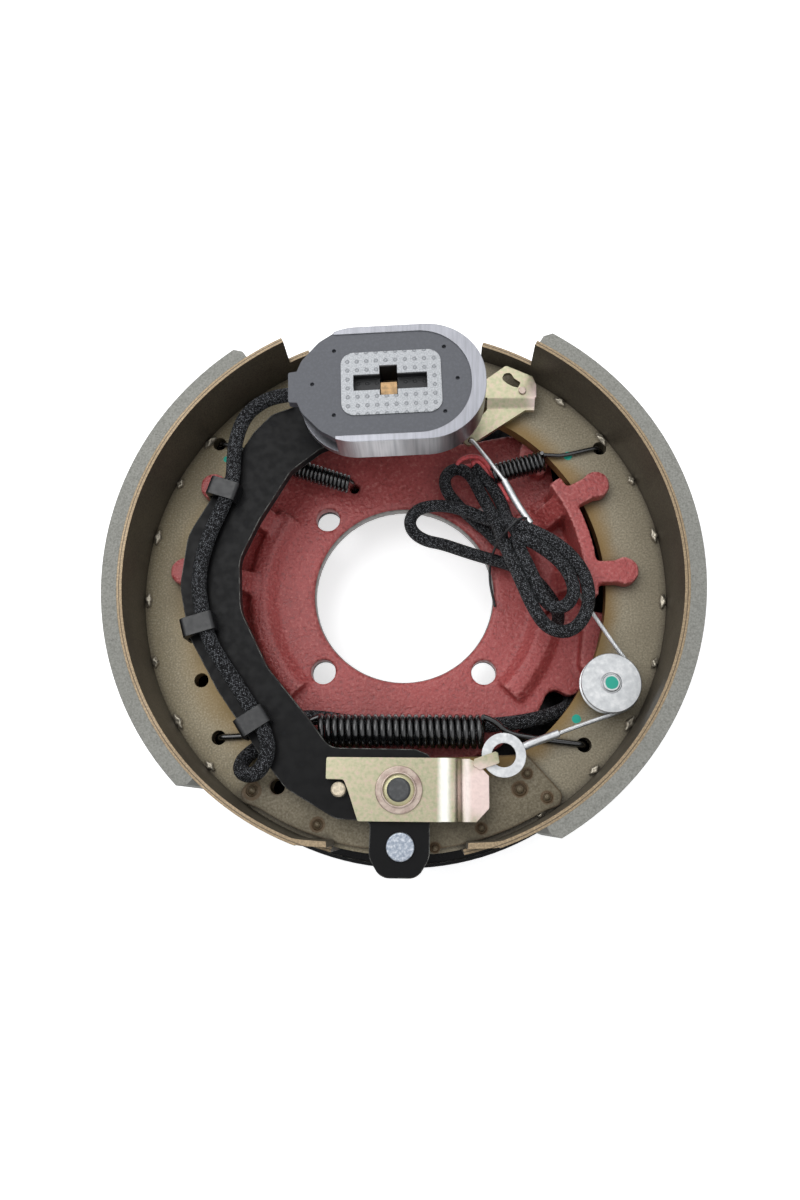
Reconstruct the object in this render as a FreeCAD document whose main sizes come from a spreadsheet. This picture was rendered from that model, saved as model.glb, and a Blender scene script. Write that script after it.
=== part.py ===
import FreeCAD, Part
import math
import os
import re
import Sketcher
from FreeCAD import Placement, Rotation, Vector

# Electric trailer brake, lying on its back: +Z is the wheel axis towards the open side, +Y is up
# on the vehicle, +X is right. The origin is the centre of the rear mounting face.
# All lengths are in millimetres and all angles in degrees.

DIMENSIONS = [
    ("bore_diameter", 102.0, "hub bore of the casting"),
    ("bolt_circle", 128.0, "pitch circle of the axle bolts"),
    ("bolt_hole_diameter", 14.0, "axle bolt holes"),
    ("bolt_count", 4.0, "axle bolts"),
    ("flange_thickness", 9.0, "bolt flange of the casting"),
    ("casting_edge", 2.0, "bevel at the bore mouth"),
    ("shield_thickness", 2.0, "pressed dust shield sheet"),
    ("shield_disc_radius", 78.0, "flat centre of the dust shield"),
    ("shield_cone_run", 12.0, "radial width of the dished step"),
    ("shield_dish", 24.0, "depth of the dish behind the mounting face"),
    ("shield_radius", 153.0, "outer edge of the dust shield"),
    ("shield_lip", 4.0, "rim turned forward"),
    ("shield_step", 2.0, "foot of the dished step, where the outer ring starts"),
    ("shield_opening", 110.0, "centre opening of the dust shield"),
    ("shield_opening_rise", 3.2, "opening set above the bore centre"),
    ("screw_circle", 149.0, "drive screws that hold the shield"),
    ("screw_radius", 2.5, "drive screw shank"),
    ("screw_depth", 7.0, "drive screw shank in the casting"),
    ("shoe_radius", 155.0, "lining face"),
    ("lining_thickness", 8.0, "friction lining"),
    ("table_thickness", 2.8, "shoe table sheet"),
    ("shoe_width", 86.0, "width of table and lining"),
    ("web_thickness", 8.0, "shoe web"),
    ("web_back", 21.0, "height of the back of the webs"),
    ("web_depth", 32.7, "webs from the table to their inner edge"),
    ("tongue_width", 40.0, "narrow end of the table at the adjuster"),
    ("doubler_thickness", 3.5, "plate welded on the web end"),
    ("web_hole_radius", 3.9, "spring and gauge holes in the webs"),
    ("web_clearance", 0.5, "gap from web to ledge and finger"),
    ("finger_thickness", 8.5, "casting fingers over the webs"),
    ("finger_radius", 121.0, "circle of the finger tips"),
    ("finger_tip_radius", 7.6, "round finger tip"),
    ("finger_width", 12.5, "finger neck"),
    ("finger_spacing", 24.6, "angle between the two fingers of a side"),
    ("finger_low_angle", 3.0, "lower finger of a side"),
    ("wall_radius", 106.5, "outer wall of the finger bracket"),
    ("wall_thickness", 7.5, "finger bracket wall"),
    ("ridge_height", 6.0, "raised rim round the flange"),
    ("anchor_drop", 111.5, "anchor bolt below the centre"),
    ("anchor_radius", 8.0, "anchor bolt shank"),
    ("anchor_head", 24.0, "anchor bolt head across flats"),
    ("anchor_head_height", 8.0, "anchor bolt head"),
    ("anchor_end_radius", 5.8, "reduced front end of the anchor bolt"),
    ("anchor_end", 2.0, "length of the reduced front end"),
    ("sleeve_radius", 13.0, "anchor sleeve that the webs rest on"),
    ("running_clearance", 0.08, "radial gap of a turning fit"),
    ("arm_back", 41.0, "back face of the magnet arm"),
    ("arm_thickness", 6.4, "magnet arm plate"),
    ("bushing_wall", 1.6, "arm bushing wall"),
    ("block_drop", 27.7, "arm block below the anchor"),
    ("block_offset", 0.8, "arm block right of the anchor"),
    ("block_radius", 9.0, "arm block between the web ends"),
    ("block_clearance", 0.5, "gap from the block to each web end"),
    ("seat_gap", 0.3, "gap from the sleeve to the sloping end of the primary web"),
    ("seat_depth", 0.6, "depth of the shallow seat in that end"),
    ("rivet_radius", 5.5, "block rivet shank"),
    ("rivet_head_radius", 7.1, "block rivet head"),
    ("rivet_head", 2.0, "block rivet head height"),
    ("pin_radius", 3.7, "stop pin"),
    ("pin_offset", 30.6, "stop pin left of the anchor"),
    ("link_gap", 0.6, "gap from arm to link plate"),
    ("link_thickness", 3.0, "yellow link plate"),
    ("link_joggle", 6.5, "step back of the cable end of the link plate"),
    ("washer_radius", 11.9, "flange of the anchor washer"),
    ("washer_thickness", 1.6, "flange of the anchor washer"),
    ("collar_radius", 8.9, "raised neck of the anchor washer"),
    ("collar_height", 2.0, "raised neck of the anchor washer"),
    ("magnet_length", 100.0, "magnet cup"),
    ("magnet_width", 66.0, "magnet cup"),
    ("magnet_depth", 21.0, "magnet cup"),
    ("magnet_x", -5.0, "magnet centre"),
    ("magnet_y", 97.5, "magnet centre"),
    ("magnet_tilt", 2.5, "turn of the magnet on the arm"),
    ("magnet_face", 80.0, "height of the magnet's rubbing face"),
    ("magnet_wall", 3.8, "long walls of the cup"),
    ("magnet_end_wall", 7.7, "right end wall of the cup"),
    ("magnet_floor", 4.0, "floor of the cup"),
    ("face_recess", 0.6, "potted face below the rim"),
    ("core_margin", 47.0, "cup longer than the pole core"),
    ("core_width", 36.0, "pole core"),
    ("coil_height", 11.0, "magnet winding"),
    ("post_width", 8.6, "magnet post"),
    ("post_height", 8.2, "magnet post"),
    ("post_clearance", 0.4, "magnet hole round the post"),
    ("post_top", 77.0, "front end of the magnet post"),
    ("pulley_x", 109.5, "guide pulley"),
    ("pulley_y", -56.0, "guide pulley"),
    ("pulley_radius", 15.6, "guide pulley"),
    ("pulley_width", 8.0, "guide pulley"),
    ("pulley_back", 36.0, "back of the guide pulley"),
    ("pulley_pin_radius", 3.2, "guide pulley pin"),
    ("pulley_shoulder", 6.5, "shoulder of the pulley pin"),
    ("cable_radius", 1.2, "adjuster cable"),
    ("eye_lift", 1.4, "cable eye in front of the cable's centre line"),
    ("eye_thickness", 2.2, "cable eye"),
    ("adjuster_y", 112.0, "adjuster screw axis"),
    ("star_x", 17.0, "middle of the star wheel"),
    ("star_width", 6.0, "star wheel"),
    ("star_radius", 12.2, "star wheel"),
    ("star_teeth", 18.0, "star wheel notches"),
    ("screw_thread_radius", 5.0, "adjuster screw"),
    ("adjuster_radius", 8.0, "adjuster sleeve and socket"),
    ("adjuster_half", 40.0, "ends of the adjuster from the middle"),
    ("adjuster_slot", 8.0, "depth of the slots that take the webs"),
    ("lever_back", 37.7, "back of the adjuster lever's upper part"),
    ("lever_thickness", 2.8, "adjuster lever"),
    ("lever_joggle", 4.0, "step back of the lever's cable arm"),
    ("lever_x", 67.5, "lever pivot"),
    ("lever_y", 111.5, "lever pivot"),
    ("stud_radius", 1.7, "lever pivot stud"),
    ("return_spring_radius", 9.2, "big return spring"),
    ("return_spring_wire", 3.2, "big return spring wire"),
    ("return_spring_coils", 21.0, "big return spring"),
    ("small_spring_radius", 4.9, "upper springs"),
    ("small_spring_wire", 2.2, "upper spring wire"),
    ("small_spring_coils", 10.0, "upper springs"),
    ("lead_radius", 4.0, "braided magnet lead"),
    ("pigtail_radius", 3.5, "braided pigtail"),
    ("clip_thickness", 1.2, "lead clip strip"),
    ("clip_width", 10.0, "lead clip along the lead"),
    ("wire_hole_radius", 6.0, "wire hole in the casting"),
]

doc = FreeCAD.newDocument("TrailerBrake")
parts = {}


class Sizes:
    """Values of the sheet, by alias."""


def make_sheet():
    """Spreadsheet with one named cell for each driving dimension."""
    sheet = doc.addObject("Spreadsheet::Sheet", "Dims")
    for row, (alias, value, note) in enumerate(DIMENSIONS, start=1):
        sheet.set("A%d" % row, alias)
        sheet.set("B%d" % row, "%g" % value)
        sheet.set("C%d" % row, note)
        sheet.setAlias("B%d" % row, alias)
    doc.recompute()
    sizes = Sizes()
    for alias, _, _ in DIMENSIONS:
        setattr(sizes, alias, float(sheet.get(alias)))
    return sizes


s = make_sheet()
ALIASES = sorted((row[0] for row in DIMENSIONS), key=len, reverse=True)
ALIAS_PATTERN = re.compile(r"\b(" + "|".join(ALIASES) + r")\b")

# Heights and radii that several pieces share.
FLANGE_FRONT = "shield_thickness + flange_thickness"
WEB_FRONT = "web_back + web_thickness"
FINGER_BACK = "web_back + web_thickness + web_clearance"
FINGER_FRONT = FINGER_BACK + " + finger_thickness"
LEDGE_TOP = "web_back - web_clearance"
SHOE_BACK = "web_back + web_thickness / 2 - shoe_width / 2"
ARM_FRONT = "arm_back + arm_thickness"
LINK_BACK = ARM_FRONT + " + link_gap"
CUP_BACK = "magnet_face - magnet_depth"
LEVER_LOW = "lever_back - lever_joggle"

flange_front = s.shield_thickness + s.flange_thickness
web_front = s.web_back + s.web_thickness
web_middle = s.web_back + s.web_thickness / 2
finger_back = web_front + s.web_clearance
finger_front = finger_back + s.finger_thickness
ledge_top = s.web_back - s.web_clearance
shoe_back = web_middle - s.shoe_width / 2
shoe_front = web_middle + s.shoe_width / 2
lining_inner = s.shoe_radius - s.lining_thickness
table_inner = lining_inner - s.table_thickness
web_inner = table_inner - s.web_depth
core_length = s.magnet_length - s.core_margin
arm_front = s.arm_back + s.arm_thickness
link_back = arm_front + s.link_gap
link_front = link_back + s.link_thickness
anchor_y = -s.anchor_drop
block_y = anchor_y - s.block_drop
cup_back = s.magnet_face - s.magnet_depth
cup_floor = cup_back + s.magnet_floor
lever_front = s.lever_back + s.lever_thickness
lever_low = s.lever_back - s.lever_joggle
cable_z = s.pulley_back + s.pulley_width / 2


def bind(obj, prop, formula):
    """Tie a property to the sheet: each alias in the formula gets the sheet's name."""
    obj.setExpression(prop, ALIAS_PATTERN.sub(r"Dims.\1", str(formula)))


def polar(radius, angle):
    """Point on a circle round the wheel axis."""
    return radius * math.cos(math.radians(angle)), radius * math.sin(math.radians(angle))


def mirrored(points):
    """Corner list reflected in the vertical plane, in the same running order."""
    return [(-x, y) + tuple(rest) for x, y, *rest in reversed(points)]


def corner_list(items):
    """Corners (x, y, fillet, arc middle or None) of a loop of points and centred arcs."""
    corners = []
    for item in items:
        if item[0] == "arc":
            radius, start, end = item[1:]
            middle = polar(radius, (start + end) / 2)
            corners.append(polar(radius, start) + (0, None))
            corners.append(polar(radius, end) + (0, Vector(middle[0], middle[1], 0)))
        else:
            corners.append((item[0], item[1], item[2] if len(item) > 2 else 0, None))
    return corners


def loop(items):
    """Closed loop of lines and arcs: points (x, y, fillet) and ("arc", radius, start, end)."""
    corners = corner_list(items)
    count = len(corners)
    ends = []
    fillets = []
    for i, (x, y, fillet, _) in enumerate(corners):
        here = Vector(x, y, 0)
        before = Vector(corners[i - 1][0], corners[i - 1][1], 0) - here
        after = Vector(corners[(i + 1) % count][0], corners[(i + 1) % count][1], 0) - here
        turn = before.getAngle(after)
        if fillet <= 0 or turn > math.pi - 0.02:
            ends.append((here, here))
            fillets.append(None)
            continue
        reach = min(fillet / math.tan(turn / 2), 0.48 * before.Length, 0.48 * after.Length)
        radius = reach * math.tan(turn / 2)
        start = here + before.normalize() * reach
        end = here + after.normalize() * reach
        centre = here + (before + after).normalize() * (radius / math.sin(turn / 2))
        middle = centre + (here - centre).normalize() * radius
        ends.append((start, end))
        fillets.append(middle)
    edges = []
    for i in range(count):
        if fillets[i] is not None:
            edges.append(Part.Arc(ends[i][0], fillets[i], ends[i][1]))
        following = (i + 1) % count
        through = corners[following][3]
        if through is not None:
            edges.append(Part.Arc(ends[i][1], through, ends[following][0]))
        elif (ends[i][1] - ends[following][0]).Length > 1e-6:
            edges.append(Part.LineSegment(ends[i][1], ends[following][0]))
    return edges


def new_body(name):
    """Body with the sub-part's label."""
    body = doc.addObject("PartDesign::Body", name)
    body.Label = name
    return body


def origin_feature(body, role):
    """Plane or axis of the body's own origin."""
    return next(item for item in body.Origin.OriginFeatures if item.Role == role)


def sketch(body, name, role="XY_Plane", height=None, turn=0.0):
    """Empty sketch on a plane of the body, raised by a bound height or turned round the axis."""
    made = body.newObject("Sketcher::SketchObject", name)
    made.AttachmentSupport = [(origin_feature(body, role), "")]
    made.MapMode = "FlatFace"
    if turn:
        made.AttachmentOffset = Placement(Vector(), Rotation(Vector(0, 1, 0), turn))
    if height is not None:
        bind(made, "AttachmentOffset.Base.z", height)
    return made


def add_circle(made, x, y, radius, formula=None):
    """Circle in a sketch, with its radius tied to the sheet when a formula is given."""
    index = made.addGeometry(Part.Circle(Vector(x, y, 0), Vector(0, 0, 1), radius))
    if formula:
        place = made.addConstraint(Sketcher.Constraint("Radius", index, radius))
        bind(made, "Constraints[%d]" % place, formula)


def pad(body, name, items, height, length, holes=()):
    """Pad of an outline, or of circles alone, from a height over a length."""
    made = sketch(body, name + "Outline", height=height)
    if items:
        made.addGeometry(loop(items))
    for x, y, radius in holes:
        add_circle(made, x, y, radius)
    feature = body.newObject("PartDesign::Pad", name)
    feature.Profile = made
    bind(feature, "Length", length)
    return feature


def pocket(body, name, items, height, length=None, circles=()):
    """Pocket cut towards the back from a height, through all when no length is given."""
    made = sketch(body, name + "Outline", height=height)
    if items:
        made.addGeometry(loop(items))
    for x, y, radius, *formula in circles:
        add_circle(made, x, y, radius, *formula)
    feature = body.newObject("PartDesign::Pocket", name)
    feature.Profile = made
    if length is None:
        feature.Type = 1
    else:
        bind(feature, "Length", length)
    return feature


def turned(body, name, profile, angle=360.0, turn=0.0, groove=False):
    """Revolution or groove of a (radius, height) profile round the body's Z axis."""
    made = sketch(body, name + "Profile", "XZ_Plane", turn=turn)
    made.addGeometry(loop(profile))
    kind = "PartDesign::Groove" if groove else "PartDesign::Revolution"
    feature = body.newObject(kind, name)
    feature.Profile = made
    feature.ReferenceAxis = (made, ["V_Axis"])
    feature.Angle = angle
    feature.Midplane = angle < 360.0
    return feature


def at(body, x=0.0, y=0.0, z=0.0, rotation=None):
    """Place a body."""
    body.Placement = Placement(Vector(x, y, z), rotation or Rotation())
    return body


def plate(name, items, height, length, holes=()):
    """Flat plate of one outline with round holes."""
    body = new_body(name)
    pad(body, name + "_pad", items, height, length, holes)
    parts[name] = body
    return body


def lathe_part(name, profile, x=0.0, y=0.0, z=0.0, rotation=None):
    """Turned piece, its own axis placed in the model."""
    body = new_body(name)
    turned(body, name + "_turn", profile)
    parts[name] = at(body, x, y, z, rotation)
    return body


def cylinder(name, radius, height, place):
    """Cylinder primitive with bound radius, height and place."""
    made = doc.addObject("Part::Cylinder", name)
    bind(made, "Radius", radius)
    bind(made, "Height", height)
    for axis, formula in zip("xyz", place):
        bind(made, "Placement.Base." + axis, formula)
    return made


def keep(name, obj):
    """Register a finished object as the sub-part of that name."""
    obj.Label = name
    parts[name] = obj
    return obj


def feature(name, shape):
    """Free-form piece from a ready shape."""
    made = doc.addObject("Part::Feature", name)
    made.Shape = shape
    made.Placement = Placement()
    return keep(name, made)


def smooth_path(points, tight=None):
    """Wire of straight runs joined by tangent arcs as large as the runs allow."""
    route = [Vector(*point) for point in points]
    edges = []
    start = route[0]
    for i in range(1, len(route) - 1):
        before = route[i - 1] - route[i]
        after = route[i + 1] - route[i]
        turn = math.pi - before.getAngle(after)
        reach = 0.45 * min(before.Length, after.Length)
        if tight is not None:
            reach = min(reach, tight * math.tan(turn / 2))
        first = route[i] + before.normalize() * reach
        last = route[i] + after.normalize() * reach
        radius = reach / math.tan(turn / 2)
        centre = route[i] + (before + after).normalize() * (radius / math.cos(turn / 2))
        middle = centre + (route[i] - centre).normalize() * radius
        edges.append(Part.LineSegment(start, first).toShape())
        edges.append(Part.Arc(first, middle, last).toShape())
        start = last
    edges.append(Part.LineSegment(start, route[-1]).toShape())
    return Part.Wire(edges)


def tube(points, radius, tight=None, name=None):
    """Round cord solid along a smooth path; a named cord prints its tightest bend."""
    path = smooth_path(points, tight)
    first = Vector(*points[0])
    axis = Vector(*points[1]) - first
    ring = Part.Wire([Part.Circle(first, axis, radius).toShape()])
    solid = path.makePipeShell([ring], True, True)
    share = solid.Volume / (math.pi * radius**2 * path.Length)
    if not 0.97 < share < 1.03:
        raise RuntimeError("cord volume is %.3f of section by length" % share)
    if name:
        bends = [e.Curve.Radius for e in path.Edges if hasattr(e.Curve, "Radius")]
        tightest = min(bends) / (2 * radius) if bends else 0
        print("%-18s length %5.0f tightest %4.1f diameters" % (name, path.Length, tightest))
    return solid


def casting_outline():
    """Outline of the casting plate: right side from the top down, then its mirror image."""
    right = [
        (39, 93, 4),
        (64, 98, 6),
        (86, 80, 5),
        (88, 64, 4),
        (97, 44, 6),
        (103, 14, 6),
        (102, -9, 4),
        (112, -13, 4),
        (123, -17, 4),
        (118, -36, 8),
        (107, -50, 8),
        (93, -59, 4),
        (82, -53, 8),
        (74, -70, 8),
        (52, -88, 8),
        (25, -97, 6),
        (22, anchor_y - 10, 8),
        (14, anchor_y - 21, 10),
    ]
    return right + mirrored(right)


def rim_top():
    """Height of the low step behind the finger brackets."""
    return flange_front + s.ridge_height - 5


def make_casting():
    """Cast spider: bolt flange, raised rim, web ledges, anchor boss and holes."""
    body = new_body("casting_spider")
    pad(body, "SpiderPlate", casting_outline(), "shield_thickness", "flange_thickness")
    ridge = flange_front + s.ridge_height
    back = s.shield_thickness
    rim = [(72, back), (72, flange_front), (79, ridge), (87, ridge), (90, rim_top())]
    rim += [(s.wall_radius, rim_top()), (s.wall_radius, back)]
    middle, spread = bracket_angles()
    upper_rim = turned(body, "UpperRim", rim, spread, middle)
    rim = [(72, back), (72, flange_front), (79, ridge), (86, ridge)]
    rim += [(92, flange_front), (92, back)]
    originals = [upper_rim, turned(body, "LowerRim", rim, 40, -24)]
    ledge = [(101, -12, 3), (112, -13, 4), (123, -17, 4), (118, -36, 8), (107, -50, 6), (97, -44, 6)]
    ledge_length = LEDGE_TOP + " - shield_thickness"
    originals.append(pad(body, "WebLedge", ledge, "shield_thickness", ledge_length))
    upper = [(66, 78, 4), (70, 94, 4), (85, 79, 4), (80, 66, 4)]
    originals.append(pad(body, "UpperLedge", upper, "shield_thickness", ledge_length))
    mirror = body.newObject("PartDesign::Mirrored", "OtherSide")
    mirror.Originals = originals
    mirror.MirrorPlane = (origin_feature(body, "YZ_Plane"), [""])
    body.Tip = mirror
    boss = [(0, anchor_y, s.sleeve_radius + 6)]
    pad(body, "AnchorBoss", [], "shield_thickness", ledge_length, boss)
    cut_casting_holes(body)
    parts["casting_spider"] = body


def cut_casting_holes(body):
    """Hub bore with its bevel, bolt holes, anchor hole, spring holes and blind screw holes."""
    bolt_x, bolt_y = polar(s.bolt_circle / 2, 45)
    top = FINGER_FRONT + " + 10"
    bore = (0, 0, s.bore_diameter / 2, "bore_diameter / 2")
    pocket(body, "Bore", [], top, circles=[bore])
    bolt_hole = (bolt_x, bolt_y, s.bolt_hole_diameter / 2, "bolt_hole_diameter / 2")
    hole = pocket(body, "BoltHole", [], top, circles=[bolt_hole])
    ring = body.newObject("PartDesign::PolarPattern", "BoltHoles")
    ring.Originals = [hole]
    ring.Axis = (origin_feature(body, "Z_Axis"), [""])
    bind(ring, "Occurrences", "bolt_count")
    body.Tip = ring
    others = [(0, anchor_y, s.anchor_radius + s.running_clearance)]
    others += [(-30, 64.5, 3.0), (47, 71, 3.0)]
    others += [WIRE_HOLE + (s.wire_hole_radius,)]
    pocket(body, "OtherHoles", [], top, circles=others)
    spot = [WIRE_HOLE + (s.wire_hole_radius + 2.2,)]
    depth = top + " - (" + FLANGE_FRONT + ")"
    pocket(body, "GrommetSeat", [], top, depth, spot)
    radius = s.bore_diameter / 2
    low = flange_front - s.casting_edge
    edge = [(radius - 1, low), (radius, low)]
    edge += [(radius + s.casting_edge, flange_front), (radius - 1, flange_front)]
    turned(body, "BoreBevel", edge, groove=True)
    screws = [polar(s.screw_circle / 2, angle) for angle in SCREW_ANGLES]
    blind = [(x, y, s.screw_radius) for x, y in screws]
    start = "shield_thickness + screw_depth"
    pocket(body, "ScrewHoles", [], start, "screw_depth", circles=blind)


def finger_angles():
    """Angles of the two fingers of the right side."""
    return s.finger_low_angle, s.finger_low_angle + s.finger_spacing


def bracket_angles():
    """Middle angle and spread of the right finger bracket."""
    low, high = finger_angles()
    return (low + high) / 2, high - low + 14


def make_bracket(side, name):
    """Finger bracket of one side: curved wall with two ribs, standing on the spider's step."""
    body = new_body(name)
    inner = s.wall_radius - s.wall_thickness
    ridge = flange_front + s.ridge_height
    step = rim_top()
    middle, spread = bracket_angles()
    turn = middle if side > 0 else 180 - middle
    wall = [(inner, step), (inner, finger_front), (s.wall_radius, finger_front), (s.wall_radius, step)]
    turned(body, name + "_wall", wall, spread, turn)
    rib_face = [(83, ridge), (87, ridge), (90, step), (inner + 1, step)]
    rib_face += [(inner + 1, finger_front - 2), (86, ridge + 2)]
    for index, angle in enumerate(finger_angles()):
        turn = angle if side > 0 else 180 - angle
        made = sketch(body, "%s_rib%d_face" % (name, index), "XZ_Plane", turn=turn)
        made.addGeometry(loop(rib_face))
        rib = body.newObject("PartDesign::Pad", "%s_rib%d" % (name, index))
        rib.Profile = made
        rib.Midplane = True
        bind(rib, "Length", "finger_width")
    parts[name] = body


def make_finger(name, angle):
    """Finger of the casting over the shoe web: neck from the bracket wall and round tip."""
    body = new_body(name)
    half = s.finger_width / 2
    foot = math.degrees(math.asin(half / s.wall_radius))
    ux, uy = polar(1, angle)
    tip = s.finger_radius
    neck = [("arc", s.wall_radius, angle + foot, angle - foot)]
    neck += [(tip * ux + half * uy, tip * uy - half * ux)]
    neck += [(tip * ux - half * uy, tip * uy + half * ux)]
    pad(body, name + "_neck", neck, FINGER_BACK, "finger_thickness")
    bulb = [(tip * ux, tip * uy, s.finger_tip_radius)]
    pad(body, name + "_tip", [], FINGER_BACK, "finger_thickness", bulb)
    parts[name] = body


def make_brackets():
    """Both finger brackets and their four fingers."""
    make_bracket(1, "finger_bracket_right")
    make_bracket(-1, "finger_bracket_left")
    low, high = finger_angles()
    for index, angle in enumerate((low, high, 180 - high, 180 - low), start=1):
        make_finger("web_finger_%d" % index, angle)


WIRE_HOLE = (87.0, -17.0)
SCREW_ANGLES = (22.0, 158.0, 205.0, 335.0)


def make_shield():
    """Dished centre of the dust shield, with its opening, bolt holes and drive screws."""
    thick = s.shield_thickness
    disc = s.shield_disc_radius
    foot = disc + s.shield_cone_run
    step = foot + s.shield_step
    low = -s.shield_dish
    profile = [(40, 0), (40, thick), (disc + 1, thick, 2), (foot + 0.7, low + thick)]
    profile += [(step, low + thick), (step, low), (foot - 0.5, low, 3), (disc, 0, 3)]
    body = new_body("dust_shield")
    turned(body, "ShieldDish", profile)
    front = "shield_thickness + 5"
    opening = (0, s.shield_opening_rise, s.shield_opening / 2, "shield_opening / 2")
    pocket(body, "ShieldOpening", [], front, circles=[opening])
    bolt_x, bolt_y = polar(s.bolt_circle / 2, 45)
    bolt_hole = (bolt_x, bolt_y, s.bolt_hole_diameter / 2, "bolt_hole_diameter / 2")
    hole = pocket(body, "ShieldBoltHole", [], front, circles=[bolt_hole])
    ring = body.newObject("PartDesign::PolarPattern", "ShieldBoltHoles")
    ring.Originals = [hole]
    ring.Axis = (origin_feature(body, "Z_Axis"), [""])
    bind(ring, "Occurrences", "bolt_count")
    body.Tip = ring
    screws = [polar(s.screw_circle / 2, angle) + (s.screw_radius,) for angle in SCREW_ANGLES]
    pocket(body, "ShieldScrewHoles", [], front, circles=screws)
    parts["dust_shield"] = body
    pins = []
    for index, (x, y, _) in enumerate(screws, start=1):
        place = ("%g" % x, "%g" % y, "0")
        length = "screw_depth + shield_thickness"
        pins.append(cylinder("ShieldScrew%d" % index, "screw_radius", length, place))
    group = doc.addObject("Part::Compound", "ShieldScrews")
    group.Links = pins
    keep("shield_screws", group)


def make_shield_ring():
    """Flat outer ring of the dust shield with its turned rim, and the rubber slot plug."""
    thick = s.shield_thickness
    step = s.shield_disc_radius + s.shield_cone_run + s.shield_step
    outer = s.shield_radius
    low = -s.shield_dish
    rim = low + s.shield_lip
    profile = [(step, low), (step, low + thick), (outer - thick, low + thick)]
    profile += [(outer - thick, rim), (outer, rim), (outer, low)]
    body = new_body("shield_ring")
    turned(body, "ShieldRingSheet", profile)
    slot = [(-12, 106, 4), (12, 106, 4), (12, 118, 4), (-12, 118, 4)]
    pocket(body, "PlugSlot", slot, "shield_thickness - shield_dish + 3")
    parts["shield_ring"] = body
    plug = new_body("slot_plug")
    flange = [(-14, 104, 5), (14, 104, 5), (14, 120, 5), (-14, 120, 5)]
    pad(plug, "PlugFlange", flange, "shield_thickness - shield_dish", 1.5)
    pad(plug, "PlugBody", slot, "-shield_dish", "shield_thickness")
    parts["slot_plug"] = plug


def make_anchor():
    """Anchor bolt, the sleeve that the shoe webs rest on, and the pressed washer in front."""
    height = link_front + s.washer_thickness + s.collar_height
    across = s.anchor_head / math.sqrt(3)
    bolt = new_body("anchor_bolt")
    corners = [math.radians(angle) for angle in range(0, 360, 60)]
    hexagon = [(across * math.cos(corner), across * math.sin(corner)) for corner in corners]
    back = "shield_thickness - anchor_head_height"
    pad(bolt, "BoltHead", hexagon, back, "anchor_head_height")
    base = s.shield_thickness
    tip = height - s.anchor_end
    shank = [(0, base), (s.anchor_radius, base), (s.anchor_radius, tip), (s.anchor_end_radius, tip + 0.5)]
    shank += [(s.anchor_end_radius, height + 0.3), (s.anchor_end_radius - 0.8, height + 0.9)]
    shank.append((0, height + 0.9))
    turned(bolt, "BoltShank", shank)
    parts["anchor_bolt"] = at(bolt, 0, anchor_y)
    inner = s.anchor_radius
    sleeve = [(inner, ledge_top), (s.sleeve_radius, ledge_top), (s.sleeve_radius, s.arm_back - 0.2)]
    lathe_part("anchor_sleeve", sleeve + [(inner, s.arm_back - 0.2)], 0, anchor_y)
    under = link_front + 0.1
    over = under + s.washer_thickness
    washer = [(inner, under), (s.washer_radius, under), (s.washer_radius, over, 0.6), (s.collar_radius, over)]
    washer += [(s.collar_radius, height - 0.2, 0.5), (inner, height - 0.2)]
    lathe_part("anchor_washer", washer, 0, anchor_y)


def shoe_limits(side):
    """Angles of table ends, tongue end and lining ends: side is 1 for right and -1 for left."""
    if side > 0:
        return {"top": 60.0, "tongue": 72.0, "bottom": -77.0, "lining": (59.4, -61.0)}
    return {"top": 117.0, "tongue": 112.0, "bottom": 256.0, "lining": (125.5, 227.0)}


def anchor_end(side, block_x):
    """Web end beside the anchor: a half round seat on the right, a sloping end on the left."""
    lip = anchor_y + 14
    if side > 0:
        return [(9.5, lip, 2), (block_x, anchor_y - 14, 0)]
    foot = block_y + 3.2
    reach = math.hypot(block_x, anchor_y - foot)
    slope = math.atan2(anchor_y - foot, -block_x) + math.asin((s.sleeve_radius + s.seat_gap) / reach)
    return [(block_x + (lip - foot) / math.tan(slope), lip, 2), (block_x, foot, 1)]


def anchor_seat(side):
    """Circle that cuts the web end's seat for the anchor sleeve."""
    if side > 0:
        return (0, anchor_y, s.sleeve_radius + s.running_clearance)
    return (0, anchor_y, s.sleeve_radius + s.seat_gap + s.seat_depth)


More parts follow.
